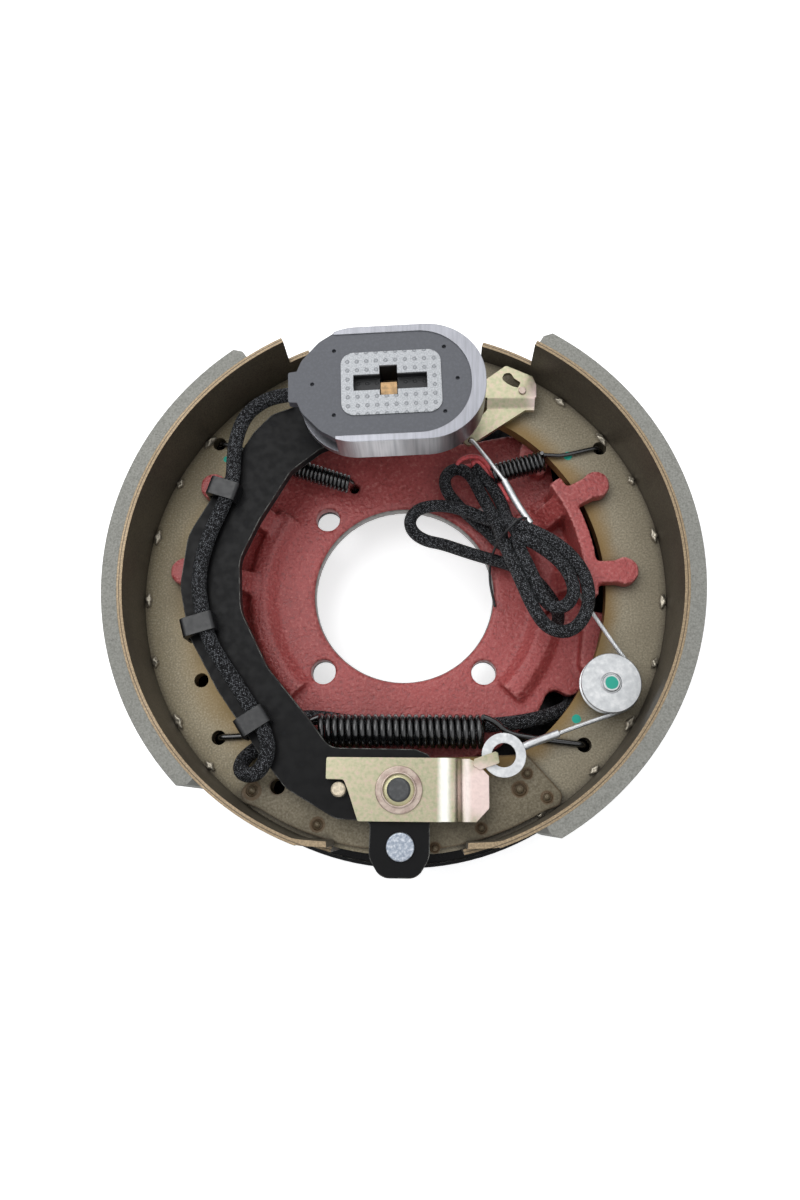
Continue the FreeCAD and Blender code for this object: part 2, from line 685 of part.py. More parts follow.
def make_shoe(side, name):
    """One brake shoe: web, doubler plate, table and friction lining."""
    limit = shoe_limits(side)
    block_x = s.block_offset + side * (s.block_radius + s.block_clearance)
    nose_x = side * (s.adjuster_half - s.adjuster_slot + 0.3)
    top_arc = limit["tongue"]
    low_arc = -83.0 if side > 0 else 263.0
    bend = -58.0 if side > 0 else 238.0
    inner_top = 60.0 if side > 0 else 120.0
    half = s.adjuster_radius - 1.5
    web = [("arc", table_inner, low_arc, top_arc)]
    web += [(nose_x, s.adjuster_y + half, 4), (nose_x, s.adjuster_y - half, 4)]
    web += [("arc", web_inner, inner_top, bend)]
    web += [(side * 20, anchor_y + 18, 5)] + anchor_end(side, block_x)
    web += [(block_x, -table_inner + 1.2, 2)]
    body = new_body(name + "_web")
    pad(body, name + "_web_pad", web, "web_back", "web_thickness")
    cuts = [anchor_seat(side)]
    cuts += [web_hole(hole) + (s.web_hole_radius,) for hole in WEB_HOLES[side]]
    pocket(body, name + "_web_holes", [], WEB_FRONT + " + 1", circles=cuts)
    parts[name + "_web"] = body
    rim = table_inner - 2.5
    run = (-60.0, -82.0) if side > 0 else (240.0, 262.0)
    doubler = [(side * 66, -92, 4), (side * 84, -112, 4), (side * 82.5, -118, 3), (side * 74, -121, 3)]
    doubler += [("arc", rim) + run, (block_x, -rim + 1, 0)]
    doubler += anchor_end(side, block_x)[::-1] + [(side * 20, anchor_y + 17, 4)]
    body = new_body(name + "_doubler")
    pad(body, name + "_doubler_pad", doubler, WEB_FRONT, "doubler_thickness")
    cuts = [anchor_seat(side)]
    cuts += [web_hole(hole) + (s.web_hole_radius,) for hole in DOUBLER_HOLES[side]]
    pocket(body, name + "_doubler_holes", [], WEB_FRONT + " + doubler_thickness + 1", circles=cuts)
    parts[name + "_doubler"] = body
    make_table(side, name, limit)
    first, last = limit["lining"]
    lean = side * 1.3
    lining = [polar(lining_inner, first), polar(s.shoe_radius - 4, first)]
    lining += [("arc", s.shoe_radius, first - lean, last + lean)]
    lining += [polar(s.shoe_radius - 4, last), ("arc", lining_inner, last, first - 0.02 * side)]
    plate(name + "_lining", lining, SHOE_BACK, "shoe_width")


def make_table(side, name, limit):
    """Shoe table: the wide strip, its narrow tongue at the adjuster and its bent front lip."""
    body = new_body(name + "_table")
    flat = -70.5 if side > 0 else 250.5
    strip = [("arc", lining_inner, limit["top"], flat), ("arc", table_inner, flat, limit["top"])]
    pad(body, name + "_strip", strip, SHOE_BACK, "shoe_width")
    tongue = [("arc", lining_inner, limit["tongue"], limit["top"] - side)]
    tongue += [("arc", table_inner, limit["top"] - side, limit["tongue"])]
    tongue_back = "web_back + web_thickness / 2 - tongue_width / 2"
    pad(body, name + "_tongue", tongue, tongue_back, "tongue_width")
    heel = [("arc", lining_inner, flat + side, limit["bottom"])]
    heel += [("arc", table_inner, limit["bottom"], flat + side)]
    back_run = WEB_FRONT + " + doubler_thickness + 1 - (" + SHOE_BACK + ")"
    pad(body, name + "_heel", heel, SHOE_BACK, back_run)
    outer = polar(lining_inner, flat + side)
    inner = polar(table_inner, flat + side)
    end = (side * 34, 7.8 - table_inner)
    bend = 8.4 - table_inner
    lip = [outer, inner, (side * 46, bend, 4), end]
    lip += [(end[0] - side * 0.3, end[1] - s.table_thickness)]
    lip += [(side * 46.5, bend - s.table_thickness, 4)]
    lip_back = WEB_FRONT + " + doubler_thickness + 1"
    lip_run = SHOE_BACK + " + shoe_width - (" + lip_back + ")"
    pad(body, name + "_lip", lip, lip_back, lip_run)
    parts[name + "_table"] = body


WEB_HOLES = {
    1: [(6.222, 35.948), (14.332, -41.941)],
    -1: [(6.907, 141.536), (22.417, 205.955), (14.855, 220.673), (16.72, 239.553)],
}
DOUBLER_HOLES = {1: [], -1: [(16.72, 239.553)]}


def web_hole(hole):
    """Middle of a web hole, given by its depth below the table and its angle."""
    depth, angle = hole
    place = polar(table_inner - depth, angle)
    return place[0], place[1]


def make_arm():
    """Magnet arm plate with its bushing, block, rivet, stop pin, magnet post and lead clips."""
    left = [(-46, 74, 14), (-62, 61, 10), (-78, 33, 14), (-88, 10, 20), (-86, -18, 25), (-70, -49, 20)]
    left += [(-47, -76, 20), (-36, -90.5, 10), (8, -91, 4), (16, -94, 4), (15.5, -128, 0)]
    left += [(15.5, -144.5, 10), (9.5, -154.3, 8), (-9.0, -154.3, 8), (-15.0, -144.5, 10)]
    left += [(-14.5, -127, 3), (-32, -126, 12)]
    left += [(-58, -111, 14), (-72, -94, 10), (-96, -61, 20), (-113, -32, 25), (-119.5, -5, 30)]
    left += [(-117, 24, 25), (-99, 57, 20), (-84, 84, 12), (-74, 95, 10), (-58, 101, 10)]
    left += [(-42, 112, 14), (8, 112, 16), (8, 80, 14), (-30, 80, 10)]
    anchor_hole = (0, anchor_y, s.anchor_radius + s.bushing_wall)
    block_hole = (s.block_offset, block_y, s.rivet_radius)
    pin_hole = (-s.pin_offset, anchor_y, s.pin_radius)
    plate("arm_plate", left, "arm_back", "arm_thickness", [anchor_hole, block_hole, pin_hole])
    inner = s.anchor_radius + s.running_clearance
    outer = s.anchor_radius + s.bushing_wall
    ring = [(inner, s.arm_back), (outer, s.arm_back), (outer, arm_front), (inner, arm_front)]
    lathe_part("arm_bushing", ring, 0, anchor_y)
    hollow = [(s.rivet_radius, s.web_back), (s.block_radius, s.web_back, 1), (s.block_radius, s.arm_back)]
    lathe_part("arm_block", hollow + [(s.rivet_radius, s.arm_back)], s.block_offset, block_y)
    rivet = [(0, s.web_back - 1), (s.rivet_radius, s.web_back - 1), (s.rivet_radius, arm_front)]
    rivet += [(s.rivet_head_radius, arm_front), (s.rivet_head_radius, arm_front + s.rivet_head, 0.8)]
    rivet += [(0, arm_front + s.rivet_head)]
    lathe_part("block_rivet", rivet, s.block_offset, block_y)
    pin = [(0, s.arm_back - 1.5), (s.pin_radius + 1.5, s.arm_back - 1.5), (s.pin_radius + 1.5, s.arm_back)]
    pin += [(s.pin_radius, s.arm_back), (s.pin_radius, link_front), (s.pin_radius - 0.7, link_front + 0.7)]
    lathe_part("stop_pin", pin + [(0, link_front + 0.7)], -s.pin_offset, anchor_y)
    make_post()
    route = arm_lead_points()
    for index, (run, reach) in enumerate(zip(CLIP_RUNS, CLIP_REACH), start=1):
        (x0, y0, _), (x1, y1, _) = route[int(run) : int(run) + 2]
        angle = math.degrees(math.atan2(y0 - y1, x0 - x1))
        make_clip("lead_clip_%d" % index, (x0 + x1) / 2, (y0 + y1) / 2, angle, reach)


def arm_lead_points():
    """Route of the lead on the arm; each clip holds the middle of one of its runs."""
    z = arm_front + s.lead_radius + 0.1
    under = s.arm_back - s.lead_radius - 0.2
    front = [(-92.5, 80), (-93.3, 67), (-92.9, 54), (-97.1, 40.6), (-103.5, 25), (-107.6, 9), (-108.4, -4)]
    front += [(-106.2, -18), (-101, -35.2), (-93, -47.5), (-85, -58.5), (-78, -69), (-68.2, -84)]
    route = [(-62, 103.5, z + 3), (-70, 103.5, z + 1.5), (-79, 101, z), (-88, 93, z)]
    route += [(x, y, z) for x, y in front]
    route += [(-66.5, -95, z), (-72.5, -105, z - 2), (-82, -104, z - 7), (-83.5, -96.5, under)]
    return route + [(-73, -88.5, under), (-63, -83, under)]


CLIP_RUNS = (6, 11, 15)
CLIP_REACH = (9.8, 10.8, 9.9)


def make_post():
    """Square magnet post riveted in the arm."""
    body = new_body("magnet_post")
    wide = s.post_width / 2
    tall = s.post_height / 2
    square = [(-wide, -tall, 0.5), (wide, -tall, 0.5), (wide, tall, 0.5), (-wide, tall, 0.5)]
    pad(body, "PostBar", square, ARM_FRONT, "post_top - (" + ARM_FRONT + ")")
    flange = [(-wide - 3, -tall - 3, 2), (wide + 3, -tall - 3, 2)]
    flange += [(wide + 3, tall + 3, 2), (-wide - 3, tall + 3, 2)]
    pad(body, "PostFoot", flange, ARM_FRONT, 2.0)
    at(body, *POST_PLACE, 0, Rotation(Vector(0, 0, 1), s.magnet_tilt))
    parts["magnet_post"] = body


POST_PLACE = (-6.3, 94.8)


def make_clip(name, x, y, angle, edge_distance):
    """Lead clip: a strip folded from behind the arm over its edge and round the lead."""
    body = new_body(name)
    t = s.clip_thickness
    reach = s.lead_radius + 0.6
    top = arm_front + 2 * s.lead_radius + 0.3
    made = sketch(body, name + "_fold", "XZ_Plane")
    edge = -edge_distance
    right = reach + t
    fold = [(right, arm_front), (right, top + t, 2), (edge - t, top + t, 3), (edge - t, s.arm_back - t)]
    fold += [(edge + 6, s.arm_back - t), (edge + 6, s.arm_back), (edge, s.arm_back), (edge, arm_front + 3)]
    fold += [(-reach, top - 1, 1.5), (-reach + 1.5, top), (right - t - 1.5, top)]
    fold += [(right - t, top - 2), (right - t, arm_front)]
    made.addGeometry(loop(fold))
    strip = body.newObject("PartDesign::Pad", name + "_strip")
    strip.Profile = made
    strip.Midplane = True
    bind(strip, "Length", "clip_width")
    at(body, x, y, 0, Rotation(Vector(0, 0, 1), angle - 90))
    parts[name] = body


def stadium(length, width, shift=0.0):
    """Straight-sided slot outline along X."""
    x = length / 2
    y = width / 2
    return [(shift - x, -y, y), (shift + x, -y, y), (shift + x, y, y), (shift - x, y, y)]


def cavity_outline(shrink=0.0):
    """Cup cavity: open at the left end, round at the right end."""
    half = s.magnet_width / 2 - s.magnet_wall - shrink
    right = s.magnet_length / 2 - s.magnet_end_wall - shrink
    left = -s.magnet_length / 2 + s.magnet_width / 2 - 13
    return left, right, half


def core_outline(grow=0.0):
    """Pole core: a rectangle with cut corners."""
    x = core_length / 2 + grow
    y = s.core_width / 2 + grow
    return [(-x, -y, 7), (x, -y, 7), (x, y, 7), (-x, y, 7)]


def post_hole(grow=0.0):
    """Square hole of the magnet round the post, in the magnet's own frame."""
    turn = math.radians(-s.magnet_tilt)
    dx = POST_PLACE[0] - s.magnet_x
    dy = POST_PLACE[1] - s.magnet_y
    x = dx * math.cos(turn) - dy * math.sin(turn)
    y = dx * math.sin(turn) + dy * math.cos(turn)
    wide = s.post_width / 2 + s.post_clearance + grow
    low = s.post_height / 2 + s.post_clearance + grow
    return [(x - wide, y - low), (x + wide, y - low), (x + wide, y + low + 8), (x - wide, y + low + 8)]


def make_magnet():
    """Magnet: steel cup, pole core, winding, potted face with its lead tab, and spring."""
    turn = Rotation(Vector(0, 0, 1), s.magnet_tilt)
    place = (s.magnet_x, s.magnet_y, 0, turn)
    left, right, half = cavity_outline()
    cup = new_body("magnet_cup")
    pad(cup, "CupBody", stadium(s.magnet_length, s.magnet_width), CUP_BACK, "magnet_depth")
    cavity = [(left, -half), (right, -half, half), (right, half, half), (left, half)]
    cavity += [(left, half + 20), (-s.magnet_length, half + 20)]
    cavity += [(-s.magnet_length, -half - 20), (left, -half - 20)]
    pocket(cup, "CupCavity", cavity, "magnet_face", "magnet_depth - magnet_floor")
    pocket(cup, "CupHole", post_hole(), "magnet_face + 1")
    parts["magnet_cup"] = at(cup, *place)
    core = new_body("magnet_core")
    top = "magnet_face - (" + CUP_BACK + ") - magnet_floor"
    pad(core, "CoreBody", core_outline(), CUP_BACK + " + magnet_floor", top)
    pocket(core, "CoreHole", post_hole(), "magnet_face + 1")
    slot = [(-20, -2.4), (19, -2.4), (19, 2.4), (-20, 2.4)]
    pocket(core, "CoreSlot", slot, "magnet_face", 5.0)
    parts["magnet_core"] = at(core, *place)
    body_left = -s.magnet_length / 2
    end = s.magnet_width / 2
    ring = [(right, -half, half), (right, half, half), (left, half)]
    ring += [(left, end - 2.6), (left - 8, end - 7.5, 12), (body_left + 2.5, 15, 10), (body_left, 9)]
    ring += [(body_left - 4.6, 8.5, 1), (body_left - 4.6, -8.5, 1)]
    ring += [(body_left, -9), (body_left + 2.5, -15, 10)]
    ring += [(left - 8, -end + 7.5, 12), (left, -end + 2.6), (left, -half)]
    winding = new_body("magnet_coil")
    coil_ring = [(left + 1, -half + 1, 8), (right - 1, -half + 1, half - 1)]
    coil_ring += [(right - 1, half - 1, half - 1), (left + 1, half - 1, 8)]
    pad(winding, "Winding", coil_ring, CUP_BACK + " + magnet_floor", "coil_height")
    pocket(winding, "WindingHole", core_outline(0.2), "magnet_face")
    parts["magnet_coil"] = at(winding, *place)
    face = new_body("magnet_face")
    face_back = CUP_BACK + " + magnet_floor + coil_height"
    face_run = "magnet_depth - magnet_floor - coil_height - face_recess"
    pad(face, "FaceBody", ring, face_back, face_run)
    pocket(face, "FaceHole", core_outline(), "magnet_face + 1")
    parts["magnet_face"] = at(face, *place)
    inner = math.hypot(s.post_width, s.post_height) / 2 + 3
    bottom = arm_front + 2.2
    rings = [(inner + 6, bottom), (inner + 8, bottom), (inner + 3, cup_back), (inner + 1, cup_back)]
    lathe_part("magnet_spring", rings, POST_PLACE[0], POST_PLACE[1])


def make_link():
    """Yellow link plate on the anchor: notch for the stop pin, joggled end and hook tab."""
    notch = anchor_y + s.pin_radius + 1.3
    main = [(-37, -95.5, 1), (-37, notch, 1), (-28, notch, 2), (-25.5, anchor_y - 1, 2), (-20.5, -127, 1)]
    main += [(21, -127), (21, -95.5)]
    body = new_body("link_plate")
    bolt_hole = (0, anchor_y, s.anchor_radius + s.running_clearance)
    pad(body, "LinkMain", main, LINK_BACK, "link_thickness", [bolt_hole])
    made = sketch(body, "LinkStepProfile", "XZ_Plane", height=126.9)
    low = link_back - s.link_joggle
    thick = s.link_thickness
    step = [(20, link_back), (20, link_front), (28.6, link_front, 6), (31.6, low + thick, 4)]
    step += [(36, low + thick), (36, low), (29.6, low, 2), (26.6, link_back, 2)]
    made.addGeometry(loop(step))
    joggle = body.newObject("PartDesign::Pad", "LinkStep")
    joggle.Profile = made
    joggle.Length = 31.4
    joggle.Reversed = True
    end = [(35.5, -126.9), (39, -126.9, 1), (45.5, -120, 2), (45.5, -104, 1), (39, -97, 1), (35.5, -95.5)]
    pad(body, "LinkEnd", end, LINK_BACK + " - link_joggle", "link_thickness")
    tab = [(37.5, -99), (41, -101), (51.0, -97.5, 1), (49.5, -91.5, 1), (38, -95.6)]
    tab_back = "pulley_back + pulley_width / 2 + eye_lift + eye_thickness + 0.2"
    pad(body, "LinkTab", tab, tab_back, 2.2)
    tip = [(49.0, -95.8), (50.8, -95.8), (50.2, -92.2), (48.8, -92.2)]
    pad(body, "LinkTabTip", tip, tab_back + " - eye_thickness - 0.4", "eye_thickness + 1.2")
    parts["link_plate"] = body


def make_pulley():
    """Grooved guide pulley on its shouldered pin."""
    width = s.pulley_width
    rim = s.pulley_radius
    hole = s.pulley_pin_radius + s.running_clearance
    flank = 1.6
    wheel = [(hole, 0), (rim, 0), (rim, flank), (rim - 3.4, width / 2 - s.cable_radius)]
    wheel += [(rim - 3.4, width / 2 + s.cable_radius), (rim, width - flank), (rim, width - 0.4)]
    wheel += [(rim - 0.4, width), (hole + 2.2, width), (hole + 2.0, width - 1), (hole, width - 1)]
    lathe_part("guide_pulley", wheel, s.pulley_x, s.pulley_y, s.pulley_back)
    shoulder = s.pulley_back - web_front - 0.1
    thin = s.pulley_pin_radius
    pin = [(0, 0), (s.pulley_shoulder, 0), (s.pulley_shoulder, shoulder), (thin, shoulder)]
    pin += [(thin, shoulder + width - 0.9), (thin + 1.4, shoulder + width - 0.9)]
    pin += [(thin + 1.4, shoulder + width + 0.4), (thin + 0.9, shoulder + width + 0.9)]
    pin.append((0, shoulder + width + 0.9))
    lathe_part("pulley_pin", pin, s.pulley_x, s.pulley_y, web_front)


def make_adjuster():
    """Adjuster under the magnet: sleeve, star-wheel screw and socket in line with the webs."""
    along = Rotation(Vector(0, 1, 0), 90)
    wheel_left = s.star_x - s.star_width / 2
    wheel_right = s.star_x + s.star_width / 2
    radius = s.adjuster_radius
    half = s.adjuster_half
    thread = s.screw_thread_radius
    depth = 26.0
    bore = thread + s.running_clearance
    sleeve = [(0, -half), (radius, -half), (radius, wheel_left - 0.4), (bore, wheel_left - 0.4)]
    sleeve += [(bore, wheel_left - depth), (0, wheel_left - depth)]
    make_slotted("adjuster_sleeve", sleeve, along, -1)
    pilot = thread - 0.5
    pocket_radius = pilot + s.running_clearance
    socket = [(0, half), (radius, half), (radius, wheel_right + 0.4), (pocket_radius, wheel_right + 0.4)]
    socket += [(pocket_radius, wheel_right + 9), (0, wheel_right + 9)]
    make_slotted("adjuster_socket", socket, along, 1)
    body = new_body("star_wheel")
    screw = [(0, wheel_left - depth + 2), (thread, wheel_left - depth + 2), (thread, wheel_left)]
    screw += [(s.star_radius, wheel_left), (s.star_radius, wheel_right), (pilot, wheel_right)]
    screw += [(pilot, wheel_right + 8.5), (0, wheel_right + 8.5)]
    turned(body, "StarScrew", screw)
    notch = [(s.star_radius - 2.2, -0.9), (s.star_radius + 1, -1.5)]
    notch += [(s.star_radius + 1, 1.5), (s.star_radius - 2.2, 0.9)]
    cut = pocket(body, "StarNotch", notch, wheel_right + 1, s.star_width + 2)
    ring = body.newObject("PartDesign::PolarPattern", "StarNotches")
    ring.Originals = [cut]
    ring.Axis = (origin_feature(body, "Z_Axis"), [""])
    bind(ring, "Occurrences", "star_teeth")
    body.Tip = ring
    parts["star_wheel"] = at(body, 0, s.adjuster_y, web_middle, along)


def make_slotted(name, profile, along, side):
    """Turned adjuster end with a slot that takes the shoe web."""
    body = new_body(name)
    turned(body, name + "_turn", profile)
    slot = s.web_thickness / 2 + 0.3
    wide = s.adjuster_radius + 1
    items = [(-slot, -wide), (slot, -wide), (slot, wide), (-slot, wide)]
    if side > 0:
        pocket(body, name + "_slot", items, "adjuster_half + 1", "adjuster_slot + 1")
    else:
        pocket(body, name + "_slot", items, "adjuster_slot - adjuster_half", "adjuster_slot + 1")
    parts[name] = at(body, 0, s.adjuster_y, web_middle, along)


def make_lever():
    """Yellow adjuster lever: upper part with its keyhole, pawl arm, bend and cable arm."""
    body = new_body("adjuster_lever")
    bend_y = 107.5
    upper = [(58.5, 127.5, 2), (73.5, 120.5, 2), (75.5, 115, 2), (75.3, bend_y), (44, bend_y)]
    upper += [(24, 104.5, 2), (14, 106, 1), (14, 113, 1), (26, 113.5, 2), (47, 119, 3)]
    stud = (s.lever_x, s.lever_y, s.stud_radius + s.running_clearance)
    pad(body, "LeverUpper", upper, "lever_back", "lever_thickness", [stud])
    key = [(56.1, 119.0, 2), (57.4, 122.6, 2.2), (61.0, 122.9, 2.2), (63.0, 119.4, 1.5)]
    key += [(66.6, 116.8, 0.6), (65.2, 113.6, 0.6), (62.2, 114.4, 1.5), (58.9, 116.3, 2)]
    pocket(body, "Keyhole", key, "lever_back + lever_thickness + 1")
    made = sketch(body, "LeverStepProfile", "YZ_Plane", height=47.5)
    high = s.lever_back
    low = lever_low
    t = s.lever_thickness
    run = [(bend_y + 0.5, high), (bend_y + 0.5, high + t), (bend_y - 0.5, high + t, 1.5)]
    run += [(bend_y - 4.5, low + t, 1.5), (bend_y - 6, low + t), (bend_y - 6, low)]
    run += [(bend_y - 5.2, low, 1.5), (bend_y - 1.2, high, 1.5)]
    made.addGeometry(loop(run))
    step = body.newObject("PartDesign::Pad", "LeverStep")
    step.Profile = made
    step.Length = 27.0
    arm = [(47.5, bend_y - 5.5), (74.4, bend_y - 5.5), (70, 102.0, 1), (36.5, 79.5, 3), (33, 84, 3)]
    pad(body, "LeverArm", arm, LEVER_LOW, "lever_thickness", [(38.2, 83.2, 1.8)])
    made = sketch(body, "PawlProfile", height="lever_back - 0.4")
    made.addGeometry(loop([(14.5, 107.5), (19.5, 107.5), (19.5, 112.5), (14.5, 112.5)]))
    pawl = body.newObject("PartDesign::Pad", "Pawl")
    pawl.Profile = made
    pawl.Length = 1.0
    parts["adjuster_lever"] = body
    shoulder = s.lever_back - web_front - 0.1
    thin = s.stud_radius
    stud = [(0, 0), (thin + 1, 0), (thin + 1, shoulder), (thin, shoulder), (thin, shoulder + t + 0.3)]
    stud += [(thin + 0.5, shoulder + t + 0.3), (thin + 0.5, shoulder + t + 1.2, 0.4)]
    stud.append((0, shoulder + t + 1.2))
    lathe_part("lever_stud", stud, s.lever_x, s.lever_y, web_front)


def coil_profile(start, length, radius, wire, coils):
    """Ridged profile of a close-wound spring: one ridge for each coil."""
    pitch = length / coils
    profile = [(radius - wire, start)]
    profile += [(radius - wire, start + length)]
    for index in reversed(range(int(round(coils)))):
        low = start + index * pitch
        profile.append((radius - 0.42 * wire, low + pitch))
        profile += [(radius, low + 0.68 * pitch), (radius, low + 0.32 * pitch)]
    profile += [(radius - 0.42 * wire, start)]
    return profile


def make_spring(name, first, last, radius, wire, coils, hooks):
    """Extension spring: ridged coil body between two points with a wire hook at each end."""
    a = Vector(*first)
    b = Vector(*last)
    axis = b - a
    length = axis.Length
    points = [Vector(r, 0, z) for r, z in coil_profile(0.0, length, radius, wire, coils)]
    outline = Part.makePolygon(points + [points[0]])
    shape = Part.Face(outline).revolve(Vector(), Vector(0, 0, 1), 360)
    shape.Placement = Placement(a, Rotation(Vector(0, 0, 1), axis))
    pieces = []
    for near, far, hook in ((a, b, hooks[0]), (b, a, hooks[1])):
        inside = near + (far - near).normalize() * wire
        cap = Part.makeCylinder(radius - 0.5 * wire, wire, near, (far - near))
        pieces.append(cap)
        pieces.append(tube([tuple(inside)] + [tuple(p) for p in hook], wire / 2, 1.5 * wire))
    solid = shape.fuse(pieces).removeSplitter()
    feature(name, solid.Solids[0] if len(solid.Solids) == 1 else solid)


def make_springs():
    """The big return spring across the bottom and the two upper springs."""
    z = s.return_spring_radius + web_front - 8.4
    y = -80.3
    hook = web_front + s.return_spring_wire / 2 + 0.1
    foot = s.web_back + 1
    tip = web_hole(WEB_HOLES[1][1])
    right = [(52, y, z), (66, -83, hook), (90, -86.2, hook), tip + (hook,), tip + (foot,)]
    tip = web_hole(WEB_HOLES[-1][2])
    left = [(-52, y, z), (-66, -82, hook), (-91, -84, hook), tip + (hook,), tip + (foot,)]
    make_spring("return_spring", (-43, y, z), (44, y, z), s.return_spring_radius, s.return_spring_wire,
                s.return_spring_coils, (left, right))
    r = s.small_spring_radius
    top = web_front + 2.0
    tip = web_hole(WEB_HOLES[1][0])
    right = [(86, 74.5, top + 0.4), (105, 79.5, top), tip + (top - 0.4,), tip + (foot,)]
    left = [(49.5, 67.6, 24), (47, 70.2, 20), (47, 71, 14), (47, 71, s.shield_thickness + 3)]
    make_spring("retractor_spring_right", (53.5, 67.2, 26.5), (79.6, 72.6, 31.5), r, s.small_spring_wire,
                s.small_spring_coils, (left, right))
    tip = web_hole(WEB_HOLES[-1][0])
    left = [(-66, 71.5, top), (-100, 83.5, top), tip + (top - 0.4,), tip + (foot,)]
    right = [(-29.5, 61.6, 22), (-29.8, 63.8, 18), (-30, 64.5, 13), (-30, 64.5, s.shield_thickness + 3)]
    make_spring("retractor_spring_left", (-62.5, 70.3, 29), (-32, 61.3, 25.5), r, s.small_spring_wire,
                s.small_spring_coils, (left, right))


def make_cable():
    """Adjuster cable: eyelet and crimp at the link plate, the cable and the ferrule at the lever."""
    z = cable_z
    ring_x, ring_y = (53.3, -93.4)
    eye = doc.addObject("Part::Cut", "EyeRing")
    low = z + s.eye_lift
    outer = cylinder("EyeOuter", 11.3, "eye_thickness", (ring_x, ring_y, low))
    inner = cylinder("EyeInner", 6.2, 4, (ring_x, ring_y, low - 1))
    eye.Base = outer
    eye.Tool = inner
    doc.recompute()
    crimp = tube([(63.6, -88.9, low + 0.9), (68, -87, low + 0.6), (75, -84.38, z), (82, -81.8, z)], 2.1)
    feature("cable_eyelet", eye.Shape.fuse(crimp).removeSplitter())
    for item in (eye, outer, inner):
        doc.removeObject(item.Name)
    wrap = s.pulley_radius - 3.4 + s.cable_radius + 0.15
    points = [(82, -81.8, z), (98, -75.9, z), (112.5, -71.2, z), (122.8, -64, z), (124.2, -52, z)]
    points += [(117.0, -42, z), (101.5, -17.5, z), (85.9, 7.4, z), (70.3, 32.4, z)]
    feature("adjuster_cable", tube(points, s.cable_radius, name="adjuster_cable"))
    top = lever_low + 1.5
    ferrule = tube([(70.3, 32.4, z), (63.4, 43.45, z), (56.3, 57.6, z)], 1.9)
    run = [(56.3, 57.6, z), (48.6, 68.8, z - 0.3), (40.9, 79.9, top + 2.9)]
    run += [(38.2, 83.2, top + 2.6), (38.2, 83.2, lever_low)]
    wire = tube(run, 1.1, 2.2)
    feature("cable_ferrule", ferrule.fuse(wire).removeSplitter())


def make_lead():
    """Braided lead: on the arm, then behind the spring and casting to the wire hole."""
    feature("arm_lead", tube(arm_lead_points(), s.lead_radius, name="arm_lead"))
    top = flange_front + s.lead_radius
    back = [(-61, -76.5, 33), (-55, -73, 27), (-44, -72, 18), (-28, -74.5, top), (0, -74.9, top + 0.5)]
    back += [(28, -75.8, top), (54, -75.2, top + 0.4), (76, -71.5, top - 0.2), (90.5, -65.5, 10)]
    back += [(94.5, -61, -4), (97, -50, -12), (97.5, -38, -13.5), (96, -28, -13)]
    back += [WIRE_HOLE + (-9.5,), WIRE_HOLE + (1,)]
    feature("casting_lead", tube(back, s.lead_radius - 0.5, name="casting_lead"))


def make_pigtail():
    """Pigtail: grommet in the casting, short free run, tied hank, tie and bare wire ends."""
    x, y = WIRE_HOLE
    r = s.pigtail_radius
    hole = s.wire_hole_radius
    ring = [(r + 0.1, 0.9), (hole, 0.9), (hole, flange_front + 0.1), (hole + 1.6, flange_front + 0.1)]
    ring += [(hole + 1.6, flange_front + 1.8, 0.8), (r + 0.1, flange_front + 1.8)]
    lathe_part("wire_grommet", ring, x, y)
    under = cable_z + s.cable_radius + 0.8
    feature("pigtail", tube([(x, y, 1), (x, y, under)], r, name="pigtail"))
    hank = new_body("pigtail_hank")
    base = "pulley_back + pulley_width / 2 + cable_radius + 0.8"
    lobes = [(58, 44, 6), (82, 37, 8), (101, 21, 10), (104.5, 2, 10), (100, -16, 8), (92, -26, 6)]
    lobes += [(80, -25, 6), (66, -6, 10), (50, 20, 6), (49, 36, 6)]
    pad(hank, "LowerLoops", lobes, base, 2.3 * r)
    core = [(50, 18, 4), (62, 18, 4), (66, 26, 4), (64.5, 33, 4), (57, 44, 4), (48, 40, 4)]
    pad(hank, "HankCore", core, flange_front + 4, base + " - %g + 1" % (flange_front + 4))
    left = [(60, 17, 4), (65.5, 27, 4), (52.5, 54, 5), (44, 69, 4), (38, 76, 4), (29, 73, 6), (22, 64, 6)]
    left += [(29, 50.5, 4), (14, 51, 8), (-1, 42, 8), (5, 32, 6), (22, 24, 8), (48, 16, 5)]
    pad(hank, "LeftLoops", left, flange_front + 4, 3 * r)
    parts["pigtail_hank"] = hank
    top = flange_front + 4 + 3 * r + 1.4
    wire = [(26, 62, top), (30, 71, top), (37, 73, top), (43, 66.5, top), (48, 56, top), (53, 46, top)]
    feature("red_wires", tube(wire, 1.3, name="red_wires"))
    knot = cable_z + s.cable_radius + 0.8 + 2.3 * r
    tail = [(61, 33, knot + 0.8), (54, 27, knot + 0.8), (46.6, 19, knot + 0.8), (45.5, 12.5, knot - 9)]
    tail += [(47.5, 7, 29), (49.5, 1, 18), (53.5, -6.5, 12.3)]
    feature("cord_tie", tube(tail, 0.7, name="cord_tie"))


def check_and_export():
    """Recompute, test every object and write one STEP file for each sub-part."""
    doc.recompute()
    for obj in doc.Objects:
        if "Invalid" in obj.State or "Error" in obj.State:
            raise RuntimeError("failed object: %s %s" % (obj.Name, obj.State))
    os.makedirs("parts", exist_ok=True)
    for name, obj in parts.items():
        shape = obj.Shape
        if shape.isNull() or not shape.isValid() or not shape.Solids:
            raise RuntimeError("bad shape: " + name)
        shape.exportStep("parts/%s.step" % name)
        print("%-26s solids %d volume %9.0f" % (name, len(shape.Solids), shape.Volume))


